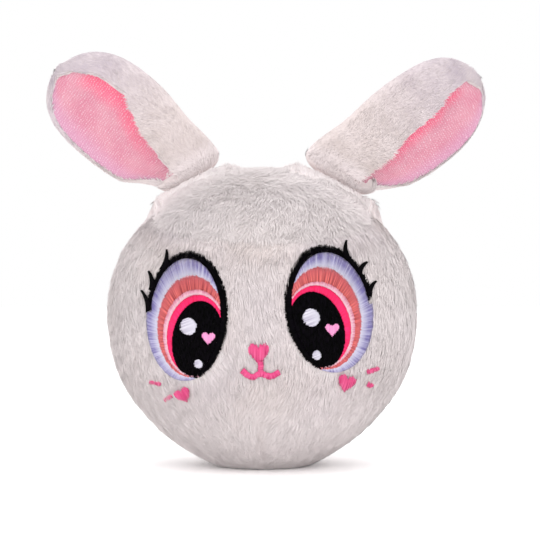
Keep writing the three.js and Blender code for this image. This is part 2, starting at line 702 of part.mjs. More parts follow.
function sliderBridge() {
  const end = BRIDGE_LENGTH / 2;
  const inner = end - BRIDGE_BAR;
  const under = SLIDER_PLATE + BRIDGE_CLEAR;
  const foot = SLIDER_PLATE / 2;
  const shape = new THREE.Shape([
    new THREE.Vector2(foot, -end),
    new THREE.Vector2(under, -end),
    new THREE.Vector2(under + BRIDGE_BAR, -inner),
    new THREE.Vector2(under + BRIDGE_BAR, inner),
    new THREE.Vector2(under, end),
    new THREE.Vector2(foot, end),
    new THREE.Vector2(foot, inner),
    new THREE.Vector2(under, inner),
    new THREE.Vector2(under, -inner),
    new THREE.Vector2(foot, -inner),
  ]);
  const geometry = new THREE.ExtrudeGeometry(shape, { depth: BRIDGE_WIDTH, bevelEnabled: false });
  geometry.translate(0, 0, -BRIDGE_WIDTH / 2);
  return geometry.applyMatrix4(new THREE.Matrix4().makeBasis(
    new THREE.Vector3(0, 1, 0),
    new THREE.Vector3(0, 0, 1),
    new THREE.Vector3(1, 0, 0),
  ));
}

const sliderBody = solid(onBack(sliderPlate(), sliderElevation, sliderDepth))
  .add(solid(onBack(sliderBridge(), sliderElevation, sliderDepth)));
addPart('zip_slider', sliderBody, COLOURS.slider, 0.35, 0.8);

// Pull: a tab that hangs straight down from its crossbar under the bridge
function pullTab() {
  const half = PULL_WIDTH / 2;
  const bar = PULL_THICKNESS / 2;
  const shape = new THREE.Shape();
  shape.moveTo(-half, bar);
  shape.lineTo(-half, bar + half - PULL_LENGTH);
  shape.absarc(0, bar + half - PULL_LENGTH, half, Math.PI, 2 * Math.PI, false);
  shape.lineTo(half, bar);
  const window = new THREE.Path();
  window.moveTo(-half + PULL_ARM, -bar);
  window.lineTo(half - PULL_ARM, -bar);
  window.lineTo(half - PULL_ARM, -bar - PULL_WINDOW);
  window.lineTo(-half + PULL_ARM, -bar - PULL_WINDOW);
  shape.holes.push(window);
  const geometry = new THREE.ExtrudeGeometry(shape, {
    depth: PULL_THICKNESS,
    bevelEnabled: false,
    curveSegments: 6,
  });
  return geometry.rotateX(Math.PI / 2).translate(0, PULL_THICKNESS / 2, 0);
}

const hanging = pullTab().rotateX(rad(-sliderElevation)).translate(0, SLIDER_PLATE + BRIDGE_CLEAR / 2, 0);
addPart('zip_pull', solid(onBack(hanging, sliderElevation, sliderDepth)), COLOURS.slider, 0.35, 0.8);

// Bladder: a thin ball with a hole for the valve
const bladderDepth = PLUSH + GAP;
const valveHole = new THREE.CylinderGeometry(
  VALVE_NECK_RADIUS + GAP, VALVE_NECK_RADIUS + GAP, 2 * VALVE_LENGTH, VALVE_SIDES,
);
const bladder = ballSolid(bladderDepth)
  .subtract(ballSolid(bladderDepth + BLADDER_WALL))
  .subtract(solid(onBack(valveHole, VALVE_ELEVATION, bladderDepth)));
addPart('air_bladder', bladder, COLOURS.bladder, 0.35);

// Valve: a flanged neck with a counterbore, and a plug whose head lies below the zip
const headTop = -(PLUG_TRAVEL - (bladderDepth - teethFloor) + 2 * GAP);
const headFoot = headTop - PLUG_HEAD_THICKNESS;
const headSeat = headFoot - GAP;
const flangeTop = -(BLADDER_WALL + FACET_SAG + GAP);
const flangeFoot = flangeTop - VALVE_FLANGE_THICKNESS;

function turned(profile) {
  const points = profile.map(([radius, height]) => new THREE.Vector2(radius, height));
  return new THREE.LatheGeometry(points, VALVE_SIDES);
}

const valveBody = turned([
  [VALVE_BORE, -VALVE_LENGTH],
  [VALVE_NECK_RADIUS, -VALVE_LENGTH],
  [VALVE_NECK_RADIUS, flangeFoot],
  [VALVE_FLANGE_RADIUS, flangeFoot],
  [VALVE_FLANGE_RADIUS, flangeTop],
  [VALVE_NECK_RADIUS, flangeTop],
  [VALVE_NECK_RADIUS, 0],
  [PLUG_HEAD_RADIUS + GAP, 0],
  [PLUG_HEAD_RADIUS + GAP, headSeat],
  [VALVE_BORE, headSeat],
  [VALVE_BORE, -VALVE_LENGTH],
]);
const plug = turned([
  [0, headFoot - PLUG_LENGTH],
  [VALVE_BORE - GAP, headFoot - PLUG_LENGTH],
  [VALVE_BORE - GAP, headFoot],
  [PLUG_HEAD_RADIUS, headFoot],
  [PLUG_HEAD_RADIUS, headTop],
  [0, headTop],
]);
addPart('valve_body', solid(onBack(valveBody, VALVE_ELEVATION, bladderDepth)), COLOURS.valve, 0.4);
addPart('valve_plug', solid(onBack(plug, VALVE_ELEVATION, bladderDepth)), COLOURS.valve, 0.4);

export default object;
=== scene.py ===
import math
import bmesh
import bpy
import numpy as np
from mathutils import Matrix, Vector


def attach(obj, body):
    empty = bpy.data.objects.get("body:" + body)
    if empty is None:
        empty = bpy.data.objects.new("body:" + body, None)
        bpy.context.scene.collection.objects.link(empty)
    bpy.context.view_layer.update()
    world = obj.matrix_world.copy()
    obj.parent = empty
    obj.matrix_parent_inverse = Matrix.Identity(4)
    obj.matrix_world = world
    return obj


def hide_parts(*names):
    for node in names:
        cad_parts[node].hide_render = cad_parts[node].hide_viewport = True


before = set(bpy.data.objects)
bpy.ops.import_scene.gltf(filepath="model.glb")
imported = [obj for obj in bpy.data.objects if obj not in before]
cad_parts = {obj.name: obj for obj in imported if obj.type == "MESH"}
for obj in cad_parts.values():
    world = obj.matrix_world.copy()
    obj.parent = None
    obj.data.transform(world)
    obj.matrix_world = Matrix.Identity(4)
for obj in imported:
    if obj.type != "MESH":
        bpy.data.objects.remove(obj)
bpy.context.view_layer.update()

# Sizes of the ball in millimetres, as in the CAD part
MM = 0.001
BALL_RADIUS = 190.0
REST_HEIGHT = 184.0
CROWN_RISE = 180.0
CROWN_HALF_ANGLE = 47.0
CROWN_TILT = 13.5
SIDE_SEAM_Y = 12.0
ZIP_TOP = -4.0
ZIP_BOTTOM = -54.0
ZIP_HALF_OPENING = 8.0

# Plush: the cloth lies under the tips of its pile, and dips along seams
SKIN_DEPTH = 5.0
SKIN_THICKNESS = 1.4
ZIP_LIP_DEPTH = 3.0
SEAM_DIP = 2.6
SEAM_WIDTH = 6.0
DART_DIP = 4.0
DART_WIDTH = 6.0
DART_TOP = -118.0
DART_LEAN = 0.11
DART_RUNOUT = 20.0
LUMP_SIZE = 1.6
LUMP_WAVELENGTH = 110.0
DEEPEST_SKIN = 7.0
ZIP_LIP_WIDTH = (22.0, 34.0)
ZIP_LIP_RUNOUT = (2.0, 8.0)
FOOT_DEPTH_SHARE = 0.25
FOOT_HEIGHT = 26.0
SKIN_COLUMNS = 160
SKIN_ROWS = 120

# Pile: strands per full ball at the front and at the back, and their shape
FRONT_STRANDS = 200000
BACK_STRANDS = 88000
PILE_WIDTH = 1.15
PILE_WIDTH_RANGE = (0.6, 1.25)
PILE_LENGTH_RANGE = (0.7, 1.2)
PILE_FLATNESS = 0.35
PILE_FOOT = 2.0
PILE_ZIP_GAP = 1.0
PILE_ZIP_GAP_DEGREES = 0.6
PILE_EYE_GAP = 0.6
PILE_MARK_OVERLAP = 1.8
TRIM_REACH = 0.85
EYE_TRIM = 0.42
EYE_TRIM_OVERLAP = 1.5
MARK_TRIM = 0.55
MARK_TRIM_OVERLAP = 1.0
ZIP_TRIM = 0.5
RIM_TRIM = 0.85
RIM_SPAN = (-2.5, 1.0)
COLLAR_TRIM = 0.3
COLLAR_END_TRIM = 0.55
COLLAR_END_SPAN = (0.6, 0.9)
COLLAR_STEEP_SPAN = (0.08, 0.5)
COLLAR_FLATTENING = 16.0
LOW_SHADE_TILT = 0.5
FLOOR_CLEARANCE = 0.3

# Pile on the crown and elsewhere: length in millimetres, turns of its nap and leans off the cloth in degrees
CROWN_PILE = {
    "length": 15.0, "rounding": 0.8, "broad_swirl": 26, "fine_swirl": 16, "scatter": 14,
    "lift": 21, "lift_wave": 4, "droop": 5, "droop_wave": 4, "lean_scatter": 4,
}
PLAIN_PILE = {
    "length": 18.0, "rounding": 1.1, "broad_swirl": 14, "fine_swirl": 12, "scatter": 7,
    "lift": 17, "lift_wave": 3, "droop": 2, "droop_wave": 2, "lean_scatter": 2.5,
}
PARTING = 165.0
PARTING_SCATTER = 24.0
PARTING_CALM = 0.6
EDGE_ON_SPAN = (0.15, 0.6)
EDGE_ON_UPRIGHT_SPAN = (0.3, 0.7)
EDGE_ON_COLLAR_SPAN = (0.1, 0.4)
NAP_OUTWARD = 0.3
SLOW_WAVELENGTH = 120.0
QUICK_WAVELENGTH = 26.0
TOUSLE_WAVELENGTH = 48.0
LIFT_WAVELENGTH = 18.0
DROOP_WAVELENGTH = 22.0
ZIP_PULL_ON_NAP = 1.5
DART_PULL_ON_NAP = 0.45
DART_PULL_WIDTH = 34.0
DART_PULL_SPAN = (100.0, 140.0)

# Spread of tint and cast over the pile, painted light that lifts the sides, the crown and the low part,
# painted shade in a band below the crown seam, and a darker tint along the dart
TINT_WAVE = 0.15
TINT_SCATTER = 0.12
CAST_WAVE = 0.35
CAST_SCATTER = 0.1
SIDE_PAINTED_LIGHT = 0.7
SIDE_PAINTED_LIGHT_SPAN = (90.0, 170.0)
CROWN_PAINTED_LIGHT = 0.8
LOW_PAINTED_LIGHT = 1.1
LOW_SPAN = (60.0, 150.0)
DART_TINT = -0.8
SEAM_PAINTED_SHADE = -0.9
SEAM_PAINTED_SHADE_PLACE = -8.0
SEAM_PAINTED_SHADE_SPAN = (4.0, 16.0)

# Ears, from the hinge line at the root to the tip
EAR_PLACE = 29.0
EAR_ROOT_RADIUS = 20.0
EAR_ROOT_HALF_LENGTH = 46.0
EAR_SEAT_DEPTH = 5.0
EAR_HALF_WIDTH = 61.0
EAR_ROOT_HALF_WIDTH = 44.0
EAR_HALF_THICKNESS = 24.0
EAR_NECK_HALF_THICKNESS = 17.0
EAR_DISH = 0.12
EAR_ROLL_SOFTNESS = 0.10
EAR_ROLL_OVERHANG = 2.0
EAR_RIM_FULLNESS = 0.45
EAR_WIDEST = 0.5
EAR_TIP_POWER = 3.3
EAR_TIP_SHARE = 0.997
EAR_BEND_SHARE = 0.3
EAR_ROOT_GROWTH_END = 0.25
EAR_RIM_WIDTH = (-0.01, 0.07)
EAR_RIM_FILL = (0.8, 0.95)
EAR_DISH_FILL = (0.7, 0.96)
EAR_DISH_AT_TIP = 0.8
EAR_ROLL_WIDTH = 0.45
EAR_ROLL_START = (0.1, 0.35)
EAR_ROLL_END = (0.85, 0.97)
EAR_SKIN_INSET = 1.0
EAR_WAD_INSET = 5.0
EAR_WAD_END = 0.9
EAR_WAD_LUMPS = 0.5
EAR_WAD_WAVELENGTH = 22.0
EAR_WAD_GRID = (40, 48)
EAR_LEAST_THICKNESS = 0.3
EAR_LINING_OVERLAP = 0.01
EAR_FRONT_STRANDS = 18500
EAR_BACK_STRANDS = 13000
EAR_ROOT_STRANDS = 2400
EAR_ROOT_INSET = 4.5
EAR_ROOT_POWER = 3
EAR_ROOT_DISH = 0.9
EAR_ROOT_DISH_EDGE = 8.0
EAR_ROOT_DISH_RISE = (-10.0, 4.0)
EAR_ROOT_BARE = 0.2
EAR_COLLAR_LEVEL = -7.0
EAR_COLLAR_OUTER_LEVEL = -4.0
EAR_COLLAR_INNER_LEVEL = -11.0
EAR_COLLAR_SLOPE = 0.9
EAR_COLLAR_OUTER_SLOPE = 0.55
EAR_COLLAR_REACH = 36.0
EAR_COLLAR_OUTER_REACH = 46.0
EAR_COLLAR_SOFTNESS = 4.0
EAR_COLLAR_FOOT = -80.0
EAR_COLLAR_END = (26.0, 2.0)
EAR_COLLAR_GAP = 1.0
EAR_SEAT_GAP = 1.0
EAR_SEAT_FOOT = -60.0
EAR_PILE = 9.0
EAR_PILE_LENGTH_RANGE = (0.7, 1.15)
EAR_PILE_WIDTH = 1.2
EAR_PILE_ROUNDING = 0.6
EAR_PILE_TRIES = 20
EAR_SHADE_TILT = 0.8
EAR_EDGE_LEAN = 1.2
EAR_ROLL_LEAN = (0.16, 0.02)
EAR_RIM_LEAN = 0.1
EAR_FRONT_EDGE = (0.85, 0.97)
EAR_BACK_EDGE = (0.6, 0.85)
EAR_BACK_PILE_END = 0.93
EAR_EDGE_HOLD = 0.8
EAR_BROAD_SWIRL = {"degrees": 22.0, "wavelength": 60.0}
EAR_FINE_SWIRL = {"degrees": 14.0, "wavelength": 16.0}
EAR_SWIRL_SCATTER = 9.0
EAR_LIFT = 18.0
EAR_LIFT_SCATTER = 4.0
EAR_DROOP = 2.0
EAR_DROOP_SCATTER = 3.0
EAR_TINT_WAVE = 0.2
EAR_TINT_WAVELENGTH = 30.0
EAR_TINT_SCATTER = 0.15
# Painted light on the ear's pile at its base and on the slopes beside the lining
EAR_BASE_PAINTED_LIGHT = 0.9
EAR_BASE_PAINTED_LIGHT_SPAN = (2.0, 18.0)
EAR_EDGE_PAINTED_LIGHT = 1.2
EAR_EDGE_PAINTED_LIGHT_WIDTH = 0.2
EAR_EDGE_PAINTED_LIGHT_SPAN = (0.35, 0.8)
EAR_CAST_SPAN = (0.1, 1.0)
KNIT_PITCH = 3.0
KNIT_STITCH = 2.6
KNIT_HEIGHT = 0.6
KNIT_STEP = 0.6
KNIT_WIDTH_SHARE = 1.4
KNIT_OVERLAP = 0.02
KNIT_LIFT = 1.2
KNIT_UNEVEN = 0.22
KNIT_UNEVEN_WAVELENGTH = 9.0
KNIT_GROOVE = 0.35
# Painted glints on the tops of the knit's stitches, each stitch with a strength of its own
KNIT_GLINT_CHOICES = 4096
KNIT_PAINTED_GLINT = {"floor": 0.35, "gain": 1.5, "least": 0.25, "spread": 0.65}
# Painted mauve sheen toward the outer edge of the lining
KNIT_RIM_SHEEN = 0.9
KNIT_RIM_SHEEN_SPAN = (0.62, 1.0)
# Painted shade in deep pink along the fold of the lining under the roll
KNIT_FOLD_SHADE_START = (0.05, 0.5)
KNIT_FOLD_SHADE_END = (0.78, 0.9)
KNIT_FOLD_SHADE_WIDTH = 5.0
KNIT_THICKNESS = 1.0

# Lining edges as (share of the ear's length, inner edge, outer edge), in half widths from the ear's axis
# Each ear also gives the width in millimetres of the painted shade in deep pink beside its roll
EARS = {
    "left": {
        "side": -1, "length": 197.0, "splay": 22.5, "turn": 6.0, "swell": 0.0, "roll_swell": 0.11,
        "fold_shade": 24.0, "root_tuck": 9.0, "root_flare": 10.0,
        "lining": [
            (0.02, 0.14, 0.66), (0.14, 0.06, 0.88), (0.21, -0.03, 0.92), (0.33, -0.12, 0.93),
            (0.45, -0.28, 0.93), (0.56, -0.45, 0.92), (0.66, -0.44, 0.91), (0.76, -0.46, 0.89),
            (0.85, -0.38, 0.84), (0.91, -0.27, 0.72), (0.955, 0.10, 0.40),
        ],
    },
    "right": {
        "side": 1, "length": 208.0, "splay": 28.5, "turn": 22.0, "swell": 0.10, "roll_swell": 0.03,
        "fold_shade": 18.0, "root_tuck": -3.0, "root_flare": 14.0,
        "lining": [
            (0.02, 0.36, 0.70), (0.12, 0.29, 0.90), (0.22, 0.24, 0.93), (0.43, 0.05, 0.95),
            (0.67, -0.03, 0.95), (0.74, -0.16, 0.95), (0.82, -0.20, 0.94), (0.91, -0.24, 0.88),
            (0.96, 0.25, 0.62),
        ],
    },
}

# Eye bands as (sideways, height, half width, half height, lean toward the nose), from the ball's centre
EYES = {
    "left": {
        "side": -1,
        "outline": (87.4, 2.5, 46.4, 74.0, 4.0),
        "lavender": (88.9, 1.5, 41.0, 67.5, 4.0),
        "coral": (81.0, -8.7, 39.5, 58.0, 2.0),
        "pale": (77.5, -16.5, 36.5, 50.0, 5.0),
        "magenta": (75.8, -18.5, 33.5, 46.5, 6.5),
        "pupil": (74.0, -23.5, 29.0, 44.5, 9.0),
        "large_glint": (84.4, -8.3, 9.6),
        "small_glint": (73.0, -50.9, 5.0),
        "heart": (61.5, -21.4, 15.0),
        "lashes": [(114.8, 60.0, 111.1, 79.0), (128.9, 37.0, 132.3, 54.0), (132.8, 11.5, 140.6, 31.5)],
    },
    "right": {
        "side": 1,
        "outline": (77.0, 11.0, 50.0, 73.0, 10.0),
        "lavender": (78.5, 10.0, 44.5, 66.5, 10.0),
        "coral": (70.0, 1.0, 42.5, 58.5, 9.0),
        "pale": (66.0, -6.5, 39.5, 49.5, 12.0),
        "magenta": (64.0, -8.0, 36.5, 47.0, 13.0),
        "pupil": (61.5, -13.0, 31.5, 45.0, 15.0),
        "large_glint": (55.2, 2.2, 10.0),
        "small_glint": (61.7, -40.9, 5.2),
        "heart": (79.3, -12.0, 15.5),
        "lashes": [(98.4, 71.7, 97.0, 89.5), (113.5, 53.8, 121.2, 64.7), (124.5, 29.0, 131.5, 42.6)],
    },
}
OUTLINE_END = 7.0
OUTLINE_RUNOUT = 16.0
OUTLINE_THINNING = 0.1
OUTLINE_RAYS = 400
OUTLINE_FOOT = -102.0
LASH_HALF_WIDTH = 3.5
LASH_TIP_HALF_WIDTH = 0.9
LASH_BOW = 2.4
LASH_DEPTH = 0.8
LASH_STITCHES = 10
NOSE = {"x": -4.5, "z": -38.0, "size": 23.0, "tilt": 0.0}
MOUTH_POINTS = [(-23.0, -58.0), (-13.0, -66.5), (-2.0, -61.0), (9.0, -65.5), (19.0, -60.0)]
MOUTH_HALF_WIDTH = 2.6
MOUTH_STEM_TOP = -47.0
CHEEKS = {
    "left_cheek_heart": {"x": -91.5, "z": -89.0, "size": 19.0, "tilt": 30.0},
    "left_cheek_upper_dash": {"x": -125.2, "z": -76.4, "length": 15.0, "tilt": -8.0},
    "left_cheek_lower_dash": {"x": -110.0, "z": -93.7, "length": 12.0, "tilt": 31.0},
    "right_cheek_heart": {"x": 96.5, "z": -75.0, "size": 21.0, "tilt": -16.0},
    "right_cheek_upper_dash": {"x": 128.4, "z": -60.9, "length": 16.0, "tilt": 15.0},
    "right_cheek_lower_dash": {"x": 125.3, "z": -78.8, "length": 9.0, "tilt": -23.0},
}
DASH_HALF_WIDTH = 2.3

# Thread: stitches lie close together, a little proud in the middle
THREAD_PITCH = 1.05
THREAD_WIDTH = 1.3
THREAD_RISE = 0.9
THREAD_DEPTH = 2.2
TOP_THREAD_DEPTH = 1.5
MARK_DEPTH = 0.8
DASH_DEPTH = 2.6
FILL_STITCH = 10.0
FILL_WIDTH = 1.9
LAVENDER_DEEP_SIDE = (0.75, 0.66)
LAVENDER_DEPTH = 0.35
ELLIPSE_POINTS = 72
DISC_POINTS = 32
STROKE_POINTS = 60
STROKE_SMOOTHING = 8
STEM_SPACING = 4
OUTLINE_RAGGED = (0.6, 2.4)
GLINT_RAGGED = 0.8
EYE_HEART_RAGGED = 0.6
NOSE_RAGGED = 2.5
MOUTH_RAGGED = (1.5, 1.5)
STEM_RAGGED = (1.2, 1.2)
CHEEK_RAGGED = 1.6
GLINT_ROWS = 20.0
UPRIGHT_ROWS = 90.0
STITCH_RINGS = 6
STITCH_HUMP_POWER = 0.7
STITCH_LOFT_SHARE = 0.25
STITCH_SCATTER = 0.06
STITCH_END_WIDTH = 0.45
STITCH_TAPER_POWER = 0.35
STITCH_WIDTH_RANGE = (0.85, 1.15)
STITCH_TINT = 0.55
STITCH_TINT_SCATTER = 0.35
CLIP_STEP = 0.4
RAY_REACH = 110.0

# Bladder, and the valve behind the zip that needs a hole in it
VALVE_ELEVATION = -29.0
VALVE_HOLE = 7.6
BLADDER_DEPTH = 8.8
BLADDER_WALL = 1.2
BLADDER_ROWS = 72
BLADDER_COLUMNS = 144
BLADDER_TOP_GAP = 0.004
WELD_COUNT = 8
WELD_RISE = 0.35
WELD_WIDTH = 0.06

# Studio and camera, in metres and degrees
WORLD_LIGHT = 1.1
LAMPS = {
    "key": {"place": (-0.4, -2.3, 1.2), "target": (0, 0, 0.22), "size": 1.8, "watts": 2.5},
    "fill": {"place": (-0.4, -2.4, 0.2), "target": (0, 0, 0.05), "size": 0.7, "watts": 8.0},
}
FLOOR_HALF = 6.0
FLOOR_SHOWN = 1.4
CAMERA_ANGLE = 14.42
CAMERA_ELEVATION = 2.0
CAMERA_DISTANCE = 2.6
CAMERA_REACH = 50.0
CAMERA_AIM = (0.0091, 0.0, 0.2376)

# Seeds of the random draws
LUMP_SEED = 3
FRONT_SEED = 11
BACK_SEED = 29
NOSE_SEED = 61
MOUTH_SEED = 62
STEM_SEED = 63
CHEEK_SEED = 70
EAR_SEED = 100
EYE_SEED = 200
SEED_STEP = 20

CENTRE = np.array([0.0, 0.0, REST_HEIGHT])
WAVE_COUNT = 16
MAP_MARGIN = 0.02


# Numbers and noise
def smoothstep(value, low, high):
    share = np.clip((value - low) / (high - low), 0, 1)
    return share * share * (3 - 2 * share)


def fade(value, low, high):
    return 1 - smoothstep(value, low, high)


def blend(first, second, share):
    return first + (second - first) * share


def unit(vectors):
    return vectors / np.maximum(np.linalg.norm(vectors, axis=-1, keepdims=True), 1e-9)


def laid_on(vectors, normals):
    """Unit vectors along a surface, from any vectors and its normals."""
    return unit(vectors - (vectors * normals).sum(1, keepdims=True) * normals)


def waves(points, wavelength, seed):
    """Smooth noise of about -1 to 1, a sum of plane waves in mixed directions."""
    rng = np.random.default_rng(seed)
    directions = unit(rng.normal(size=(WAVE_COUNT, 3)))
    sizes = 2 * np.pi / wavelength * rng.uniform(0.6, 1.5, (WAVE_COUNT, 1))
    phases = rng.uniform(0, 2 * np.pi, WAVE_COUNT)
    return np.sin(points @ (directions * sizes).T + phases).sum(1) / math.sqrt(WAVE_COUNT)


def turn_about(vectors, axes, angles):
    """Each vector turned about its own unit axis."""
    cosine = np.cos(angles)[:, None]
    sine = np.sin(angles)[:, None]
    along = (axes * vectors).sum(1, keepdims=True) * axes
    return vectors * cosine + np.cross(axes, vectors) * sine + along * (1 - cosine)


# Objects and pieces
def in_scene(name, data):
    """A new object that is linked to the scene."""
    thing = bpy.data.objects.new(name, data)
    bpy.context.scene.collection.objects.link(thing)
    return thing


def make_piece(name, points, faces, body, material, values=None, flat_map=None, shading=None):
    """A mesh from points in millimetres, with per-point values for its material."""
    faces = np.asarray(faces, np.int32)
    sides = faces.shape[1]
    mesh = bpy.data.meshes.new(name)
    mesh.vertices.add(len(points))
    mesh.vertices.foreach_set("co", (np.asarray(points, np.float32) * MM).ravel())
    mesh.loops.add(faces.size)
    mesh.loops.foreach_set("vertex_index", faces.ravel())
    mesh.polygons.add(len(faces))
    mesh.polygons.foreach_set("loop_start", np.arange(0, faces.size, sides, dtype=np.int32))
    mesh.update(calc_edges=True)
    mesh.polygons.foreach_set("use_smooth", np.full(len(faces), True))
    for key, value in (values or {}).items():
        attribute = mesh.attributes.new(key, "FLOAT", "POINT")
        attribute.data.foreach_set("value", np.asarray(value, np.float32))
    if flat_map is not None:
        low = flat_map.min(0)
        span = np.maximum(flat_map.max(0) - low, 1e-6)
        even = MAP_MARGIN + (1 - 2 * MAP_MARGIN) * (flat_map - low) / span
        layer = mesh.uv_layers.new(name="OFBake")
        layer.data.foreach_set("uv", even[faces.ravel()].astype(np.float32).ravel())
    mesh.materials.append(material)
    mesh.validate()
    if shading is not None:
        mesh.normals_split_custom_set_from_vertices(shading.astype(np.float32))
    piece = in_scene(name, mesh)
    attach(piece, body)
    return piece


def thicken(piece, thickness):
    shell = piece.modifiers.new("thickness", "SOLIDIFY")
    shell.thickness = thickness * MM
    shell.offset = -1
    return piece


# Materials
def new_material(name):
    material = bpy.data.materials.new(name)
    material.use_nodes = True
    tree = material.node_tree
    tree.nodes.clear()
    return material, tree


def feed(tree, socket, value):
    """Link a socket to another one, or set it to a plain value or a colour."""
    if isinstance(value, bpy.types.NodeSocket):
        tree.links.new(value, socket)
    else:
        socket.default_value = (*value, 1) if isinstance(value, tuple) else value


def add_node(tree, kind, inputs=(), **settings):
    """A node with its inputs fed, in order or by name, and its other settings made."""
    node = tree.nodes.new(kind)
    for socket, value in zip(node.inputs, inputs):
        feed(tree, socket, value)
    for key, value in settings.items():
        if key in node.inputs:
            feed(tree, node.inputs[key], value)
        else:
            setattr(node, key, value)
    return node


def value_of(tree, name):
    return add_node(tree, "ShaderNodeAttribute", attribute_name=name).outputs["Fac"]


def mix_colours(tree, factor, first, second):
    """A colour mix: factor, first and second are sockets or plain values."""
    node = add_node(tree, "ShaderNodeMix", data_type="RGBA")
    for place, value in ((0, factor), (6, first), (7, second)):
        feed(tree, node.inputs[place], value)
    return node.outputs[2]


def ramp(tree, factor, low, high, start=0.0, end=1.0):
    span = {"From Min": low, "From Max": high, "To Min": start, "To Max": end}
    return add_node(tree, "ShaderNodeMapRange", Value=factor, **span).outputs["Result"]


def noise(tree, scale, detail=3.0):
    place = add_node(tree, "ShaderNodeTexCoord").outputs["Object"]
    return add_node(tree, "ShaderNodeTexNoise", Vector=place, Scale=scale, Detail=detail).outputs["Fac"]


def surface(tree, colour, roughness, **settings):
    """A principled surface with its colour linked, going to the output."""
    shader = add_node(tree, "ShaderNodeBsdfPrincipled", (colour,), Roughness=roughness, **settings)
    add_node(tree, "ShaderNodeOutputMaterial", (shader.outputs["BSDF"],))
    return shader


def add_bump(tree, shader, height, strength, distance):
    bump = add_node(tree, "ShaderNodeBump", Height=height, Strength=strength, Distance=distance)
    feed(tree, shader.inputs["Normal"], bump.outputs["Normal"])


def pile_material(name, pale, warm, cool, painted_root_tone):
    """Plush strands: a warm or cool cast, a tint of its own for each strand, and a painted root tone:
    painted shade where it is darker than the strand, painted light where it is lighter.
    """
    material, tree = new_material(name)
    patch = mix_colours(tree, value_of(tree, "cast"), warm, cool)
    strand = mix_colours(tree, ramp(tree, value_of(tree, "tint"), 0.0, 1.6), patch, pale)
    colour = mix_colours(tree, ramp(tree, value_of(tree, "tip"), 0.0, 0.55), painted_root_tone, strand)
    surface(tree, colour, 0.85, **{"Specular IOR Level": 0.15, "Sheen Weight": 0.25})
    return material


def cloth_material(name, first, second, scale, bump):
    """Backing cloth, tape or fibre: two shades in fine noise, with a bump of the same grain."""
    material, tree = new_material(name)
    grain = noise(tree, scale, 6.0)
    shader = surface(tree, mix_colours(tree, ramp(tree, grain, 0.3, 0.7), first, second), 0.9)
    add_bump(tree, shader, grain, 0.5, bump)
    return material


def thread_material(name, dark, light, end, gloss=0.25):
    """Satin thread: each stitch has its own tint, and goes over to the end colour along its length."""
    material, tree = new_material(name)
    body = mix_colours(tree, value_of(tree, "tint"), dark, light)
    colour = mix_colours(tree, ramp(tree, value_of(tree, "tip"), 0.35, 0.95), body, end)
    shader = surface(tree, colour, 0.5, **{"Specular IOR Level": gloss})
    add_bump(tree, shader, noise(tree, 1800.0, 2.0), 0.3, 0.0004)
    return material


def hard_material(name, first, second, scale, roughness, metallic=0.0, scratch=0.1):
    """Moulded or cast piece: slight shade and roughness changes, with fine scratches."""
    material, tree = new_material(name)
    grain = noise(tree, scale, 8.0)
    shader = surface(tree, mix_colours(tree, grain, first, second), roughness, Metallic=metallic)
    feed(tree, shader.inputs["Roughness"], ramp(tree, grain, 0.0, 1.0, roughness - 0.1, roughness + 0.15))
    add_bump(tree, shader, grain, scratch, 0.0003)
    return material


def knit_material(name):
    """Sparkling pink knit: painted glints on the stitch tops, painted shade in deep pink along the fold and
    a painted mauve sheen along the rim.
    """
    material, tree = new_material(name)
    patches = ramp(tree, noise(tree, 30.0), 0.35, 0.65)
    base = mix_colours(tree, patches, (0.69, 0.23, 0.33), (0.75, 0.32, 0.41))
    # Painted mauve sheen toward the rim of the lining
    rim = mix_colours(tree, value_of(tree, "rim"), base, (0.68, 0.32, 0.49))
    # Painted shade: deep pink along the fold
    fold_shade = mix_colours(tree, value_of(tree, "fold_shade"), rim, (0.98, 0.15, 0.27))
    # Painted glints: the stitch tops go over to pale pink
    colour = mix_colours(tree, value_of(tree, "painted_glint"), fold_shade, (0.96, 0.74, 0.82))
    shader = surface(tree, colour, 0.45, **{"Sheen Weight": 0.3})
    add_bump(tree, shader, noise(tree, 900.0, 2.0), 0.3, 0.0005)
    return material


# The last colour is the painted root tone: lighter than the strands on the ball, as painted light in the
# gaps between them, and darker on the ears, as painted shade.
PLUSH = pile_material(
    "white_plush_pile", (1.0, 0.925, 0.92), (0.83, 0.74, 0.72), (0.82, 0.745, 0.765), (1.0, 0.95, 0.945),
)
EAR_PLUSH = pile_material(
    "ear_plush_pile", (1.0, 0.905, 0.905), (0.76, 0.665, 0.635), (0.62, 0.54, 0.615), (0.78, 0.69, 0.69),
)
BACKING = cloth_material("plush_backing", (0.93, 0.84, 0.83), (0.88, 0.79, 0.78), 600.0, 0.0006)
FIBRE = cloth_material("fibre_wad", (0.86, 0.84, 0.80), (0.76, 0.74, 0.70), 220.0, 0.002)
TAPE = cloth_material("woven_tape", (0.80, 0.74, 0.76), (0.70, 0.64, 0.66), 1500.0, 0.0003)
VINYL = hard_material("bladder_vinyl", (0.70, 0.66, 0.72), (0.62, 0.58, 0.65), 60.0, 0.4)
VALVE = hard_material("valve_plastic", (0.60, 0.60, 0.63), (0.52, 0.52, 0.56), 90.0, 0.45)
TEETH = hard_material("moulded_teeth", (0.74, 0.71, 0.75), (0.66, 0.63, 0.67), 120.0, 0.4)
METAL = hard_material("nickel", (0.62, 0.63, 0.66), (0.48, 0.49, 0.52), 260.0, 0.32, 1.0, 0.2)
KNIT = knit_material("sparkling_knit")
BLACK = thread_material(
    "black_thread", (0.001, 0.001, 0.001), (0.004, 0.003, 0.005), (0.002, 0.002, 0.002), gloss=0.015,
)
LAVENDER = thread_material("lavender_thread", (0.23, 0.20, 0.46), (0.55, 0.53, 0.74), (0.74, 0.73, 0.84))
CORAL = thread_material("coral_thread", (0.40, 0.06, 0.07), (0.84, 0.20, 0.19), (0.66, 0.14, 0.16))
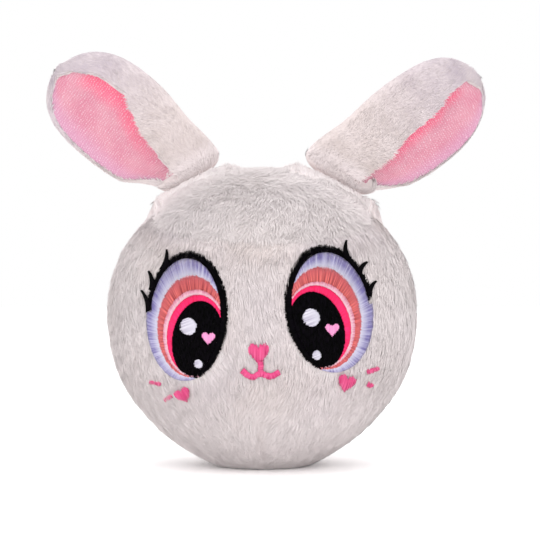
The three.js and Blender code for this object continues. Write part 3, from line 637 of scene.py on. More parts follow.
PALE = thread_material("pale_pink_thread", (0.66, 0.22, 0.33), (0.88, 0.50, 0.60), (0.86, 0.66, 0.72))
MAGENTA = thread_material("magenta_thread", (0.86, 0.010, 0.10), (1.0, 0.035, 0.20), (0.95, 0.02, 0.15))
WHITE = thread_material("white_thread", (0.46, 0.43, 0.55), (0.78, 0.76, 0.84), (0.72, 0.71, 0.80))
PINK = thread_material("pink_thread", (0.62, 0.03, 0.16), (0.95, 0.17, 0.39), (0.88, 0.10, 0.30))
HEART_PINK = thread_material("heart_pink_thread", (0.86, 0.24, 0.56), (0.97, 0.42, 0.70), (0.95, 0.36, 0.66))


# Ball: points on its surface from directions, and what lies where
def ball_directions(elevation, around):
    """Unit directions from angles in radians."""
    level = np.cos(elevation)
    return np.stack([level * np.cos(around), level * np.sin(around), np.sin(elevation)], -1)


def ball_points(directions, depth):
    """Point under each unit direction, drawn in by a depth, and the normal there."""
    level = np.hypot(directions[:, 0], directions[:, 1])
    elevation = np.arctan2(directions[:, 2], level)
    heading = unit(np.c_[directions[:, :2], np.zeros(len(directions))] + [0, 1e-9, 0])
    rise = np.where(elevation > 0, CROWN_RISE, BALL_RADIUS)
    points = heading * ((BALL_RADIUS - depth) * np.cos(elevation))[:, None]
    points[:, 2] = REST_HEIGHT + (rise - depth) * np.sin(elevation)
    flattening = (BALL_RADIUS / rise) ** 2
    return points, unit(np.c_[points[:, :2], (points[:, 2] - REST_HEIGHT) * flattening])


def front_points(x, z, depth):
    """Point on the front of the ball at a place in the front elevation, drawn in by a depth."""
    rise = np.where(z > 0, CROWN_RISE, BALL_RADIUS) - depth
    radius = BALL_RADIUS - depth
    reach = np.sqrt(np.maximum(1 - (z / rise) ** 2 - (x / radius) ** 2, 1e-4))
    return np.stack([x, -radius * reach, z + REST_HEIGHT], -1)


CROWN_NORMAL = np.array([0, -math.sin(math.radians(CROWN_TILT)), math.cos(math.radians(CROWN_TILT))])
CROWN_CUT = BALL_RADIUS * math.cos(math.radians(CROWN_HALF_ANGLE))


def over_crown_seam(points):
    """Distance of each point past the plane of the crown's seam."""
    return (points - CENTRE) @ CROWN_NORMAL - CROWN_CUT


def panel_of(points):
    """Panel of each point: 0 face, 1 crown, 2 left back, 3 right back."""
    back = np.where(points[:, 0] < 0, 2, 3)
    return np.where(over_crown_seam(points) > 0, 1, np.where(points[:, 1] < SIDE_SEAM_Y, 0, back))


def back_elevation(points):
    """Degrees up the back of the ball from its middle."""
    return np.degrees(np.arctan2(points[:, 2] - REST_HEIGHT, points[:, 1]))


def in_zip(points, gap=0.0, gap_degrees=0.0):
    """Whether each point lies in the opening of the zip, or in a gap round it."""
    elevation = back_elevation(points)
    along = (elevation < ZIP_TOP + gap_degrees) & (elevation > ZIP_BOTTOM - gap_degrees)
    return along & (points[:, 1] > 0) & (np.abs(points[:, 0]) < ZIP_HALF_OPENING + gap)


def zip_nearness(points):
    """1 beside the zip at the back, falling to 0 away from it."""
    elevation = back_elevation(points)
    near, far = ZIP_LIP_RUNOUT
    along = smoothstep(elevation, ZIP_BOTTOM - far, ZIP_BOTTOM - near)
    along = along * fade(elevation, ZIP_TOP + near, ZIP_TOP + far)
    beside = fade(np.abs(points[:, 0]), *ZIP_LIP_WIDTH)
    return np.where(points[:, 1] > 0, along * beside, 0)


def dart_line(points):
    """1 along the dart under the chin, falling to 0 beside it."""
    height = points[:, 2] - REST_HEIGHT
    beside = points[:, 0] - DART_LEAN * (DART_TOP - height)
    along = smoothstep(-height, -DART_TOP, DART_RUNOUT - DART_TOP) * (points[:, 1] < 0)
    return np.exp(-(beside / DART_WIDTH) ** 2) * along


def skin_depth(points):
    """Depth of the cloth: lumps, dips along the seams and the dart, and a lip beside the zip."""
    crown_seam = over_crown_seam(points)
    side_seam = np.where(crown_seam < 0, np.abs(points[:, 1] - SIDE_SEAM_Y), np.inf)
    back_seam = np.where((crown_seam < 0) & (points[:, 1] > 0), np.abs(points[:, 0]), np.inf)
    seam = np.minimum(np.minimum(np.abs(crown_seam), side_seam), back_seam)
    depth = SKIN_DEPTH + SEAM_DIP * np.exp(-(seam / SEAM_WIDTH) ** 2) + DART_DIP * dart_line(points)
    lumps = LUMP_SIZE * (0.5 + 0.5 * waves(points, LUMP_WAVELENGTH, LUMP_SEED))
    depth = np.minimum(depth + lumps, DEEPEST_SKIN)
    depth = blend(depth, ZIP_LIP_DEPTH, zip_nearness(points))
    return depth * blend(FOOT_DEPTH_SHARE, 1, smoothstep(points[:, 2], 0, FOOT_HEIGHT))


def ball_skin():
    """Cloth of the cover, cut along its seams and round the opening of the zip."""
    low = -math.asin(REST_HEIGHT / BALL_RADIUS)
    around = np.linspace(0, 2 * np.pi, SKIN_COLUMNS, endpoint=False)
    grid = bmesh.new()
    rings = []
    for elevation in low + (math.pi / 2 - low) * np.arange(SKIN_ROWS) / SKIN_ROWS:
        points, _ = ball_points(ball_directions(np.full(SKIN_COLUMNS, elevation), around), 0.0)
        rings.append([grid.verts.new(point) for point in points])
    top = grid.verts.new((0, 0, REST_HEIGHT + CROWN_RISE))
    foot = grid.verts.new((0, 0, 0))
    for lower, upper in zip(rings, rings[1:]):
        for column in range(SKIN_COLUMNS):
            following = (column + 1) % SKIN_COLUMNS
            grid.faces.new((lower[column], lower[following], upper[following], upper[column]))
    for column in range(SKIN_COLUMNS):
        following = (column + 1) % SKIN_COLUMNS
        grid.faces.new((rings[-1][column], rings[-1][following], top))
        grid.faces.new((rings[0][following], rings[0][column], foot))
    cuts = [(CENTRE + CROWN_NORMAL * CROWN_CUT, CROWN_NORMAL), ((0, SIDE_SEAM_Y, 0), (0, 1, 0))]
    cuts += [((place, 0, 0), (1, 0, 0)) for place in (0, -ZIP_HALF_OPENING, ZIP_HALF_OPENING)]
    for angle in np.radians([ZIP_TOP, ZIP_BOTTOM]):
        cuts.append((CENTRE, (0, -math.sin(angle), math.cos(angle))))
    for place, normal in cuts:
        everything = grid.verts[:] + grid.edges[:] + grid.faces[:]
        bmesh.ops.bisect_plane(grid, geom=everything, plane_co=Vector(place), plane_no=Vector(normal))
    bmesh.ops.triangulate(grid, faces=grid.faces[:])
    grid.verts.index_update()
    points = np.array([vertex.co for vertex in grid.verts])
    faces = np.array([[vertex.index for vertex in face.verts] for face in grid.faces])
    grid.free()
    return points, faces


def add_ball_skin():
    points, faces = ball_skin()
    middles = points[faces].mean(1)
    panels = np.where(in_zip(middles), -1, panel_of(middles))
    slopes = unit((points - CENTRE) * [1, 1, (BALL_RADIUS / CROWN_RISE) ** 2])
    sunk = points - slopes * (skin_depth(points) - ear_collar(points))[:, None]
    sunk[:, 2] = np.maximum(sunk[:, 2], 2 * FLOOR_CLEARANCE)
    flat_map = np.c_[np.arctan2(points[:, 0], -points[:, 1]), points[:, 2]]
    for number, node in enumerate(("face_panel", "crown_panel", "back_panel_left", "back_panel_right")):
        used, corners = np.unique(faces[panels == number], return_inverse=True)
        piece = make_piece(
            f"{node}_cloth", sunk[used], corners.reshape(-1, 3), "root", BACKING,
            flat_map=flat_map[used],
        )
        thicken(piece, SKIN_THICKNESS)
        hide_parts(node)


# Pile: tapered strands that leave the cloth and bend over along the nap
STRAND_FACES = np.array([
    (4, 1, 0), (3, 4, 0), (5, 2, 1), (4, 5, 1), (3, 0, 2),
    (5, 3, 2), (6, 4, 3), (6, 5, 4), (6, 3, 5), (0, 1, 2),
])
STRAND_TIPS = (0, 0, 0, 0.55, 0.55, 0.55, 1)
STRAND_BEND = 0.45
STRAND_MIDDLE_WIDTH = 0.85
PLACE_SCATTER = 0.35


def strand_points(roots, normals, nap, length, width, lift, droop, rounding):
    """Seven points of each strand, a ring at the root, a ring half way and the tip, and their shading."""
    side = unit(np.cross(nap, normals))
    rise = np.cos(lift)[:, None] * nap + np.sin(lift)[:, None] * normals
    lie = np.cos(droop)[:, None] * nap + np.sin(droop)[:, None] * normals
    middle = roots + rise * (STRAND_BEND * length)[:, None]
    tip = middle + lie * ((1 - STRAND_BEND) * length)[:, None]
    half = (0.5 * width)[:, None]
    over = unit(np.cross(side, rise))
    corners = [side * half, (-0.5 * side + PILE_FLATNESS * over) * half]
    corners.append((-0.5 * side - PILE_FLATNESS * over) * half)
    root_ring = [roots + corner for corner in corners]
    middle_ring = [middle + STRAND_MIDDLE_WIDTH * corner for corner in corners]
    shades = [unit(normals + rounding * unit(corner)) for corner in corners]
    return np.stack([*root_ring, *middle_ring, tip], 1), np.stack([*shades, *shades, normals], 1)


def add_pile(name, strands, chosen, flat_map, shades, body, material, mirrored=False):
    """One piece of pile; shades holds a tint and a cast for each strand."""
    points, shading = (part[chosen].reshape(-1, 3) for part in strands)
    count = chosen.sum()
    sides = len(STRAND_TIPS)
    corners = STRAND_FACES[:, ::-1] if mirrored else STRAND_FACES
    faces = (np.arange(count)[:, None, None] * sides + corners).reshape(-1, 3)
    tint, cast = np.repeat(shades[chosen], sides, axis=0).T
    values = {"tip": np.tile(STRAND_TIPS, count), "tint": tint, "cast": cast}
    spread = np.repeat(flat_map[chosen], sides, axis=0)
    make_piece(name, points, faces, body, material, values, spread, shading)


def even_directions(count, seed):
    """Directions spread evenly over a ball, each moved a little."""
    rng = np.random.default_rng(seed)
    number = np.arange(count) + 0.5
    height = 1 - 2 * number / count
    around = np.pi * (1 + math.sqrt(5)) * number
    level = np.sqrt(1 - height ** 2)
    directions = np.stack([level * np.cos(around), level * np.sin(around), height], 1)
    scatter = PLACE_SCATTER * math.sqrt(4 * np.pi / count)
    return unit(directions + rng.normal(0, scatter, directions.shape))


# Shapes of the embroidery, as outlines in the front elevation
def turned(outline, x, z, degrees):
    angle = math.radians(degrees)
    spin = np.array([[math.cos(angle), math.sin(angle)], [-math.sin(angle), math.cos(angle)]])
    return outline @ spin + [x, z]


def ellipse(eye, band, grow=0.0):
    x, z, half_width, half_height, lean = eye[band]
    around = np.linspace(0, 2 * np.pi, ELLIPSE_POINTS, endpoint=False)
    outline = np.c_[(half_width + grow) * np.cos(around), (half_height + grow) * np.sin(around)]
    return turned(outline, eye["side"] * x, z, eye["side"] * lean)


def reach_in(eye, band, x, z):
    """Distance of each place from the middle of an ellipse: below 1 inside it."""
    middle_x, middle_z, half_width, half_height, lean = eye[band]
    angle = math.radians(eye["side"] * lean)
    right = x - eye["side"] * middle_x
    up = z - middle_z
    across = right * math.cos(angle) + up * math.sin(angle)
    along = up * math.cos(angle) - right * math.sin(angle)
    return np.hypot(across / half_width, along / half_height)


def disc(x, z, radius):
    around = np.linspace(0, 2 * np.pi, DISC_POINTS, endpoint=False)
    return np.c_[x + radius * np.cos(around), z + radius * np.sin(around)]


def heart(x, z, size, tilt=0.0, grow=0.0):
    half = size / 2 + grow
    curves = [
        [(0, -0.95), (0.55, -0.45), (1.05, 0.05), (1, 0.45)],
        [(1, 0.45), (0.9, 1.0), (0.2, 1.0), (0, 0.5)],
        [(0, 0.5), (-0.2, 1.0), (-0.9, 1.0), (-1, 0.45)],
        [(-1, 0.45), (-1.05, 0.05), (-0.55, -0.45), (0, -0.95)],
    ]
    share = np.linspace(0, 1, 9)[:-1, None]
    rest = 1 - share
    parts = []
    for a, b, c, d in np.array(curves):
        parts.append(a * rest ** 3 + 3 * b * share * rest ** 2 + 3 * c * share ** 2 * rest + d * share ** 3)
    return turned(half * np.concatenate(parts), x, z, tilt)


def dash(x, z, length, tilt, grow=0.0):
    half = DASH_HALF_WIDTH + grow
    straight = max(length / 2 - DASH_HALF_WIDTH, 0)
    right = np.linspace(-np.pi / 2, np.pi / 2, 9)
    ends = [np.c_[straight + half * np.cos(right), half * np.sin(right)]]
    ends.append(np.c_[-straight - half * np.cos(right), -half * np.sin(right)])
    return turned(np.concatenate(ends), x, z, tilt)


def lash(values, side, grow=0.0):
    base = np.array([side * values[0], values[1]])
    tip = np.array([side * values[2], values[3]])
    along = unit(tip - base)
    across = np.array([-along[1], along[0]])
    root = base - along * LASH_HALF_WIDTH
    wide = across * (LASH_HALF_WIDTH + grow)
    narrow = across * (LASH_TIP_HALF_WIDTH + grow)
    return np.array([root - wide, tip - narrow, tip + narrow, root + wide])


def stroke(points, half_width):
    """Middle line through points, as close points and the directions across it."""
    points = np.array(points)
    share = np.linspace(0, len(points) - 1, STROKE_POINTS)
    line = np.stack([np.interp(share, range(len(points)), column) for column in points.T], 1)
    for _ in range(STROKE_SMOOTHING):
        line[1:-1] = (line[:-2] + 2 * line[1:-1] + line[2:]) / 4
    along = unit(np.gradient(line, axis=0))
    across = np.c_[-along[:, 1], along[:, 0]] * half_width
    return line, across


def inside(outline, x, z):
    """Whether each place lies in a closed outline."""
    odd = np.zeros(np.shape(x), bool)
    for (x0, z0), (x1, z1) in zip(outline, np.roll(outline, -1, axis=0)):
        if z0 != z1:
            crossing = x0 + (z - z0) * (x1 - x0) / (z1 - z0)
            odd ^= ((z0 > z) != (z1 > z)) & (x < crossing)
    return odd


def mark_outline(mark, grow=0.0):
    if "size" in mark:
        return heart(mark["x"], mark["z"], mark["size"], mark["tilt"], grow)
    return dash(mark["x"], mark["z"], mark["length"] + 2 * grow, mark["tilt"], grow)


def mouth_outline(grow=0.0):
    line, across = stroke(MOUTH_POINTS, MOUTH_HALF_WIDTH + grow)
    return np.concatenate([line - across, (line + across)[::-1]])


def in_eyes(x, z, grow):
    found = np.zeros(np.shape(x), bool)
    for eye in EYES.values():
        found |= inside(ellipse(eye, "outline", grow), x, z)
        for values in eye["lashes"]:
            found |= inside(lash(values, eye["side"], grow), x, z)
    return found


def in_marks(x, z, grow):
    """Places on the nose, the mouth and the cheek hearts; the dashes are left to lie among the pile."""
    found = inside(mark_outline(NOSE, grow), x, z) | inside(mouth_outline(grow), x, z)
    for mark in CHEEKS.values():
        if "size" in mark:
            found |= inside(mark_outline(mark, grow), x, z)
    return found


# Ears: points of the skin in the ear's own frame and in the part's frame
def ear_frame(ear):
    place = math.radians(EAR_PLACE)
    normal = math.atan2(math.sin(place) / BALL_RADIUS, math.cos(place) / CROWN_RISE)
    lift = EAR_ROOT_RADIUS - EAR_SEAT_DEPTH
    side = ear["side"]
    x = BALL_RADIUS * math.sin(place) + lift * math.sin(normal)
    z = REST_HEIGHT + CROWN_RISE * math.cos(place) + lift * math.cos(normal)
    lean = side * normal
    turn = side * math.radians(ear["turn"])
    about_y = np.array([
        [math.cos(lean), 0, math.sin(lean)],
        [0, 1, 0],
        [-math.sin(lean), 0, math.cos(lean)],
    ])
    about_z = np.array([
        [math.cos(turn), -math.sin(turn), 0],
        [math.sin(turn), math.cos(turn), 0],
        [0, 0, 1],
    ])
    return about_y @ about_z @ np.diag([side, 1, 1]), np.array([side * x, 0, z])


def placed(ear, points):
    turn, place = ear_frame(ear)
    return points @ turn.T + place


def in_ear_frame(ear, points):
    turn, place = ear_frame(ear)
    return (points - place) @ turn


def ear_half(share, root, full):
    swell = blend(root, full, np.sin(np.pi / 2 * np.minimum(share, EAR_WIDEST) / EAR_WIDEST))
    beyond = np.maximum(share - EAR_WIDEST, 0) / (1 - EAR_WIDEST)
    return swell * np.sqrt(np.maximum(1 - beyond ** EAR_TIP_POWER, 0))


def lining_edges(ear, share):
    tip = sum(ear["lining"][-1][1:]) / 2
    shares, inner, outer = np.array(ear["lining"] + [(1.0, tip, tip)]).T
    return np.interp(share, shares, inner), np.interp(share, shares, outer)


def root_growth(ear, sideways):
    """How much longer the ear's root is at its inner end, and shorter at its outer end."""
    return np.where(sideways > 0, -ear["root_tuck"], ear["root_flare"])


def ear_points(ear, share, across, facing, inset):
    """Point of the ear's skin: facing is 1 at the back and -1 at the front."""
    inner, outer = lining_edges(ear, share)
    half_width = ear_half(share, EAR_ROOT_HALF_WIDTH, EAR_HALF_WIDTH) - inset
    swell = np.where(across > 0, ear["swell"], ear["roll_swell"])
    half_width = half_width * (1 + swell * np.sin(np.pi * share))
    half_width = half_width + root_growth(ear, across) * fade(share, 0, EAR_ROOT_GROWTH_END)
    half_thickness = ear_half(share, EAR_NECK_HALF_THICKNESS, EAR_HALF_THICKNESS)
    back = half_thickness * np.sqrt(np.maximum(1 - across ** 2, 0))
    into_dish = smoothstep(across, inner - EAR_ROLL_SOFTNESS, inner)
    onto_rim = smoothstep(across, outer + EAR_RIM_WIDTH[0], outer + EAR_RIM_WIDTH[1])
    rim = blend(EAR_RIM_FULLNESS, 1, smoothstep(share, *EAR_RIM_FILL))
    dish = blend(EAR_DISH, EAR_DISH_AT_TIP, smoothstep(share, *EAR_DISH_FILL))
    front = 1 + (dish - 1) * into_dish * (1 - onto_rim) + (rim - 1) * into_dish * onto_rim
    thick = back * (1 + front) / 2
    depth = back * (1 - front) / 2 + facing * np.maximum(thick - inset, EAR_LEAST_THICKNESS * thick)
    splay = math.radians(ear["splay"])
    lean = splay * np.minimum(1, share / EAR_BEND_SHARE)
    along = ear["length"] * share
    over = smoothstep(across, inner - EAR_ROLL_WIDTH, inner - EAR_ROLL_SOFTNESS) * (1 - into_dish)
    over = over * smoothstep(share, *EAR_ROLL_START) * fade(share, *EAR_ROLL_END)
    sideways = across * half_width + np.where(facing < 0, EAR_ROLL_OVERHANG * over, 0)
    x = along * math.sin(splay) + sideways * np.cos(lean)
    z = along * math.cos(splay) - sideways * np.sin(lean)
    return np.stack([x, depth, z], -1)


def ear_ring_points(ear, share, angle, inset):
    return ear_points(ear, share, np.cos(angle), np.sign(np.sin(angle)), inset)


def grid_faces(rows, columns, closed, flip):
    """Quads of a grid of points, joined round its columns if closed."""
    near = np.arange(rows - 1)[:, None] * columns + np.arange(columns if closed else columns - 1)
    side = near - near % columns + (near + 1) % columns
    quads = np.stack([near, side, side + columns, near + columns], -1).reshape(-1, 4)
    return quads[:, ::-1] if flip else quads


def halved(quads):
    """Two triangles out of each quad."""
    return np.concatenate([quads[:, [0, 1, 2]], quads[:, [0, 2, 3]]])


def root_half_length(ear, sideways):
    return EAR_ROOT_HALF_LENGTH + root_growth(ear, sideways)


def root_fullness(reach, least=0.0):
    return np.sqrt(np.maximum(1 - np.abs(reach) ** EAR_ROOT_POWER, least))


def root_radius(reach, inset=0.0, least=0.0):
    """Radius of the ear's root at a share of its half length."""
    return (EAR_ROOT_RADIUS - inset) * root_fullness(reach, least)


def in_ear_roots(points):
    """Whether each point lies in the seat of an ear, or a little below it."""
    found = np.zeros(len(points), bool)
    for ear in EARS.values():
        local = in_ear_frame(ear, points)
        reach = local[:, 0] / (root_half_length(ear, local[:, 0]) - EAR_SEAT_GAP)
        above = np.maximum(local[:, 2], 0)
        seated = np.hypot(local[:, 1], above) < root_radius(reach, EAR_SEAT_GAP)
        found |= seated & (local[:, 2] > EAR_SEAT_FOOT)
    return found


def ear_collar(points):
    """How far the plush of the crown rises toward the roots of the ears."""
    rise = np.zeros(len(points))
    for ear in EARS.values():
        local = in_ear_frame(ear, points)
        reach, beside = np.abs(local[:, :2]).T
        half_length = root_half_length(ear, local[:, 0])
        radius = root_radius(reach / half_length)
        away = np.hypot(np.maximum(beside - radius, 0), np.maximum(reach - half_length, 0))
        at_end = smoothstep(reach, half_length - EAR_COLLAR_END[0], half_length - EAR_COLLAR_END[1])
        end_level = np.where(local[:, 0] > 0, EAR_COLLAR_OUTER_LEVEL, EAR_COLLAR_INNER_LEVEL)
        level = blend(EAR_COLLAR_LEVEL, end_level, at_end)
        under = -np.sqrt(np.maximum(radius ** 2 - beside ** 2, 0)) - EAR_COLLAR_GAP
        outside = smoothstep(local[:, 0], 0, half_length)
        slope = blend(EAR_COLLAR_SLOPE, EAR_COLLAR_OUTER_SLOPE, outside)
        extent = blend(EAR_COLLAR_REACH, EAR_COLLAR_OUTER_REACH, outside)
        gap = np.minimum(level, under) - slope * away - local[:, 2]
        near = fade(away, EAR_COLLAR_SOFTNESS, extent) * (local[:, 2] > EAR_COLLAR_FOOT)
        rise = np.maximum(rise, near * (gap + np.sqrt(gap ** 2 + EAR_COLLAR_SOFTNESS ** 2)) / 2)
    return rise


def collar_slope(points, normals):
    """Uphill slope of the collars at each point of the ball."""
    step = 1.5
    first = unit(np.cross(normals, [0.0, 1.0, 0.01]))
    second = np.cross(normals, first)
    slope = np.zeros_like(points)
    for along in (first, second):
        change = ear_collar(points + step * along) - ear_collar(points - step * along)
        slope += along * (change / (2 * step))[:, None]
    return slope


def height_over(points):
    """How far each point stands out over the ball and its collars."""
    rise = np.where(points[:, 2] > REST_HEIGHT, CROWN_RISE, BALL_RADIUS)
    directions = unit(np.c_[points[:, :2] / BALL_RADIUS, (points[:, 2] - REST_HEIGHT) / rise])
    below, normals = ball_points(directions, 0.0)
    return ((points - below) * normals).sum(1) - ear_collar(below)


def pile_places(count, seed, front):
    """Places on one half of the ball that carry pile, and the ball's normals there."""
    outer, normals = ball_points(even_directions(count, seed), 0.0)
    x, y, z = (outer - CENTRE).T
    keep = (y < SIDE_SEAM_Y) if front else (y >= SIDE_SEAM_Y)
    keep &= outer[:, 2] > PILE_FOOT
    keep &= ~in_ear_roots(outer + normals * ear_collar(outer)[:, None])
    keep &= ~in_zip(outer, PILE_ZIP_GAP, PILE_ZIP_GAP_DEGREES)
    if front:
        keep &= ~(in_eyes(x, z, PILE_EYE_GAP) | in_marks(x, z, -PILE_MARK_OVERLAP))
    return outer[keep], normals[keep]


def ball_pile(count, seed, front):
    """Places, strands, shades and panels of the pile on one half of the ball."""
    rng = np.random.default_rng(seed)
    outer, normals = pile_places(count, seed, front)
    number = len(outer)
    height = outer[:, 2] - REST_HEIGHT
    panels = panel_of(outer)
    crown = panels == 1
    kind = {key: np.where(crown, CROWN_PILE[key], PLAIN_PILE[key]) for key in CROWN_PILE}
    facing = -1 if front else 1
    uphill = collar_slope(outer, normals)
    steep = smoothstep(np.linalg.norm(uphill, axis=1), *COLLAR_STEEP_SPAN)
    roots = outer - normals * (skin_depth(outer) - ear_collar(outer))[:, None]

    # Nap runs down the ball, in soft waves on the face and in a tousle on the crown
    slow = waves(outer, SLOW_WAVELENGTH, seed + 1)
    quick = waves(outer, QUICK_WAVELENGTH, seed + 2)
    tousle = waves(outer, TOUSLE_WAVELENGTH, seed + 3)
    sidelong = np.abs(normals[:, 1])
    edge_on = fade(sidelong, *EDGE_ON_SPAN) * smoothstep(normals[:, 2], *EDGE_ON_UPRIGHT_SPAN)
    edge_on = np.maximum(edge_on, steep * fade(sidelong, *EDGE_ON_COLLAR_SPAN))
    parting = PARTING * np.sign(outer[:, 0] + rng.normal(0, PARTING_SCATTER, number)) * edge_on
    swirl = kind["broad_swirl"] * np.where(crown, tousle, slow) + kind["fine_swirl"] * quick
    swirl = np.where(crown, swirl * (1 - PARTING_CALM * edge_on) + parting, swirl)
    swirl = np.radians(swirl + rng.normal(0, kind["scatter"]))
    down = np.array([0, NAP_OUTWARD * facing, -1.0])
    nap = turn_about(laid_on(down, normals), normals, swirl)
    normals = unit(normals - uphill)
    near_zip = zip_nearness(outer)
    sideways = np.sign(outer[:, :1]) * np.array([1.0, 0, 0])
    nap = laid_on(unit(nap + ZIP_PULL_ON_NAP * near_zip[:, None] * sideways), normals)
    dart = np.exp(-(outer[:, 0] / DART_PULL_WIDTH) ** 2) * smoothstep(-height, *DART_PULL_SPAN)
    dart = dart * (outer[:, 1] < 0)
    nap = unit(nap - DART_PULL_ON_NAP * dart[:, None] * sideways)

    length = kind["length"] * rng.uniform(*PILE_LENGTH_RANGE, number) * (1 - ZIP_TRIM * near_zip)
    lift = kind["lift"] - COLLAR_FLATTENING * steep
    lift = lift + kind["lift_wave"] * waves(outer, LIFT_WAVELENGTH, seed + 4)
    lift = np.radians(lift + rng.normal(0, kind["lean_scatter"]))
    droop = kind["droop"] + kind["droop_wave"] * waves(outer, DROOP_WAVELENGTH, seed + 5)
    droop = np.radians(droop + rng.normal(0, kind["lean_scatter"]))
    width = PILE_WIDTH * rng.uniform(*PILE_WIDTH_RANGE, number)

    # Pile is shorter beside the embroidery, on the collars and where it would stand out past their rims
    if front:
        x, _, z = (roots + nap * (TRIM_REACH * length)[:, None] - CENTRE).T
        trim = np.where(in_marks(x, z, -MARK_TRIM_OVERLAP), MARK_TRIM, 1)
        length = length * np.where(in_eyes(x, z, -EYE_TRIM_OVERLAP), EYE_TRIM, trim)
    at_end = smoothstep(np.abs(normals[:, 0]), *COLLAR_END_SPAN)
    length = length * (1 - (COLLAR_TRIM + COLLAR_END_TRIM * at_end) * steep)
    tips = roots + nap * length[:, None]
    stands_out = smoothstep(height_over(tips), *RIM_SPAN) * (height > 0)
    length = length * (1 - RIM_TRIM * stands_out)
    rounding = kind["rounding"][:, None]
    points, shading = strand_points(roots, normals, nap, length, width, lift, droop, rounding)
    points[..., 2] = np.maximum(points[..., 2], FLOOR_CLEARANCE)
    low = smoothstep(-height, *LOW_SPAN)
    shading[..., 1] += facing * LOW_SHADE_TILT * low[:, None]

    # Tint: painted light lifts the sides, the crown and the low part; painted shade darkens a band below the
    # crown seam; darker along the dart
    tint = 0.5 + TINT_WAVE * quick + rng.normal(0, TINT_SCATTER, number)
    tint = tint + SIDE_PAINTED_LIGHT * smoothstep(np.abs(outer[:, 0]), *SIDE_PAINTED_LIGHT_SPAN)
    tint = tint + np.where(crown, CROWN_PAINTED_LIGHT, LOW_PAINTED_LIGHT * low)
    # Painted shade: a darker band just below the crown seam
    from_seam = np.abs(over_crown_seam(outer) - SEAM_PAINTED_SHADE_PLACE)
    at_seam = fade(from_seam, *SEAM_PAINTED_SHADE_SPAN) * ~crown
    tint = tint + DART_TINT * dart_line(outer) + SEAM_PAINTED_SHADE * at_seam
    cast = 0.5 + CAST_WAVE * slow + rng.normal(0, CAST_SCATTER, number)
    return outer, (points, unit(shading)), np.c_[tint, np.clip(cast, 0, 1)], panels


def add_ball_pile():
    outer, strands, shades, panels = ball_pile(FRONT_STRANDS, FRONT_SEED, True)
    around = np.arctan2(outer[:, 0], -outer[:, 1])
    flat_map = np.c_[around, outer[:, 2]]
    face = panels == 0
    edges = np.quantile(around[face], [0, 0.25, 0.5, 0.75, 1])
    names = ("left_outer", "left_inner", "right_inner", "right_outer")
    for name, low, high in zip(names, edges, edges[1:]):
        chosen = face & (around >= low) & ((around < high) | (high == edges[-1]))
        add_pile(f"face_pile_{name}", strands, chosen, flat_map, shades, "root", PLUSH)
    add_pile("crown_pile_front", strands, panels == 1, outer[:, :2], shades, "root", PLUSH)
    outer, strands, shades, panels = ball_pile(BACK_STRANDS, BACK_SEED, False)
    flat_map = np.c_[np.arctan2(outer[:, 0], outer[:, 1]), outer[:, 2]]
    for name, number in (("crown_pile_back", 1), ("back_pile_left", 2), ("back_pile_right", 3)):
        add_pile(name, strands, panels == number, flat_map, shades, "root", PLUSH)


# Ears: a stuffed skin with a rolled inner edge, its pile, a knit lining and a wad of fibre
def ear_shell(ear, inset, end, rows=60, columns=96):
    """Closed skin of the ear from the root to a share near the tip."""
    share = end * np.sin(np.pi / 2 * np.arange(rows) / (rows - 1))
    angle = 2 * np.pi * (np.arange(columns) + 0.5) / columns
    share, angle = np.meshgrid(share, angle, indexing="ij")
    points = ear_ring_points(ear, share, angle, inset)
    ends = np.stack([points[0].mean(0), points[-1].mean(0)])
    flat_map = np.stack([angle, share], -1).reshape(-1, 2)
    around = np.arange(columns)
    following = (around + 1) % columns
    top = (rows - 1) * columns
    last = np.full(columns, rows * columns)
    fans = [np.stack([following, around, last], 1)]
    fans.append(np.stack([top + around, top + following, last + 1], 1))
    fans = np.concatenate(fans)
    mirrored = ear["side"] < 0
    triangles = halved(grid_faces(rows, columns, True, mirrored))
    faces = np.concatenate([triangles, fans[:, ::-1] if mirrored else fans])
    return np.concatenate([points.reshape(-1, 3), ends]), faces, np.r_[flat_map, [[np.pi, 0], [np.pi, end]]]


def root_dish(ear, x, z):
    """How far the front of the ear's root is pressed in below the lining."""
    inner, outer = EAR_ROOT_HALF_WIDTH * np.array(ear["lining"][0][1:])
    into = smoothstep(x, inner - EAR_ROOT_DISH_EDGE, inner)
    out_of = smoothstep(x, outer, outer + EAR_ROOT_DISH_EDGE)
    return into * (1 - out_of) * smoothstep(z, *EAR_ROOT_DISH_RISE)


def root_points(ear, reach, angle, least=0.0):
    """Points of the ear's root, from shares of its half length and angles about the hinge line."""
    radius = root_radius(reach, EAR_ROOT_INSET, least)
    x = (root_half_length(ear, reach) - EAR_ROOT_INSET) * reach
    return np.stack([x, radius * np.cos(angle), radius * np.sin(angle)], -1)


def root_shell(ear, rows=28, columns=40):
    """Closed rounded root, turned about the hinge line."""
    reach = -np.cos(np.pi * np.arange(rows) / (rows - 1))
    angle = 2 * np.pi * np.arange(columns) / columns
    reach, angle = np.meshgrid(reach, angle, indexing="ij")
    points = root_points(ear, reach, angle, 1e-6)
    pressed = 1 - EAR_ROOT_DISH * root_dish(ear, points[..., 0], points[..., 2])
    points[..., 1] *= np.where(points[..., 1] < 0, pressed, 1)
    faces = halved(grid_faces(rows, columns, True, ear["side"] < 0))
    flat_map = np.stack([angle, -0.1 + 0.05 * reach], -1).reshape(-1, 2)
    return points.reshape(-1, 3), faces, flat_map


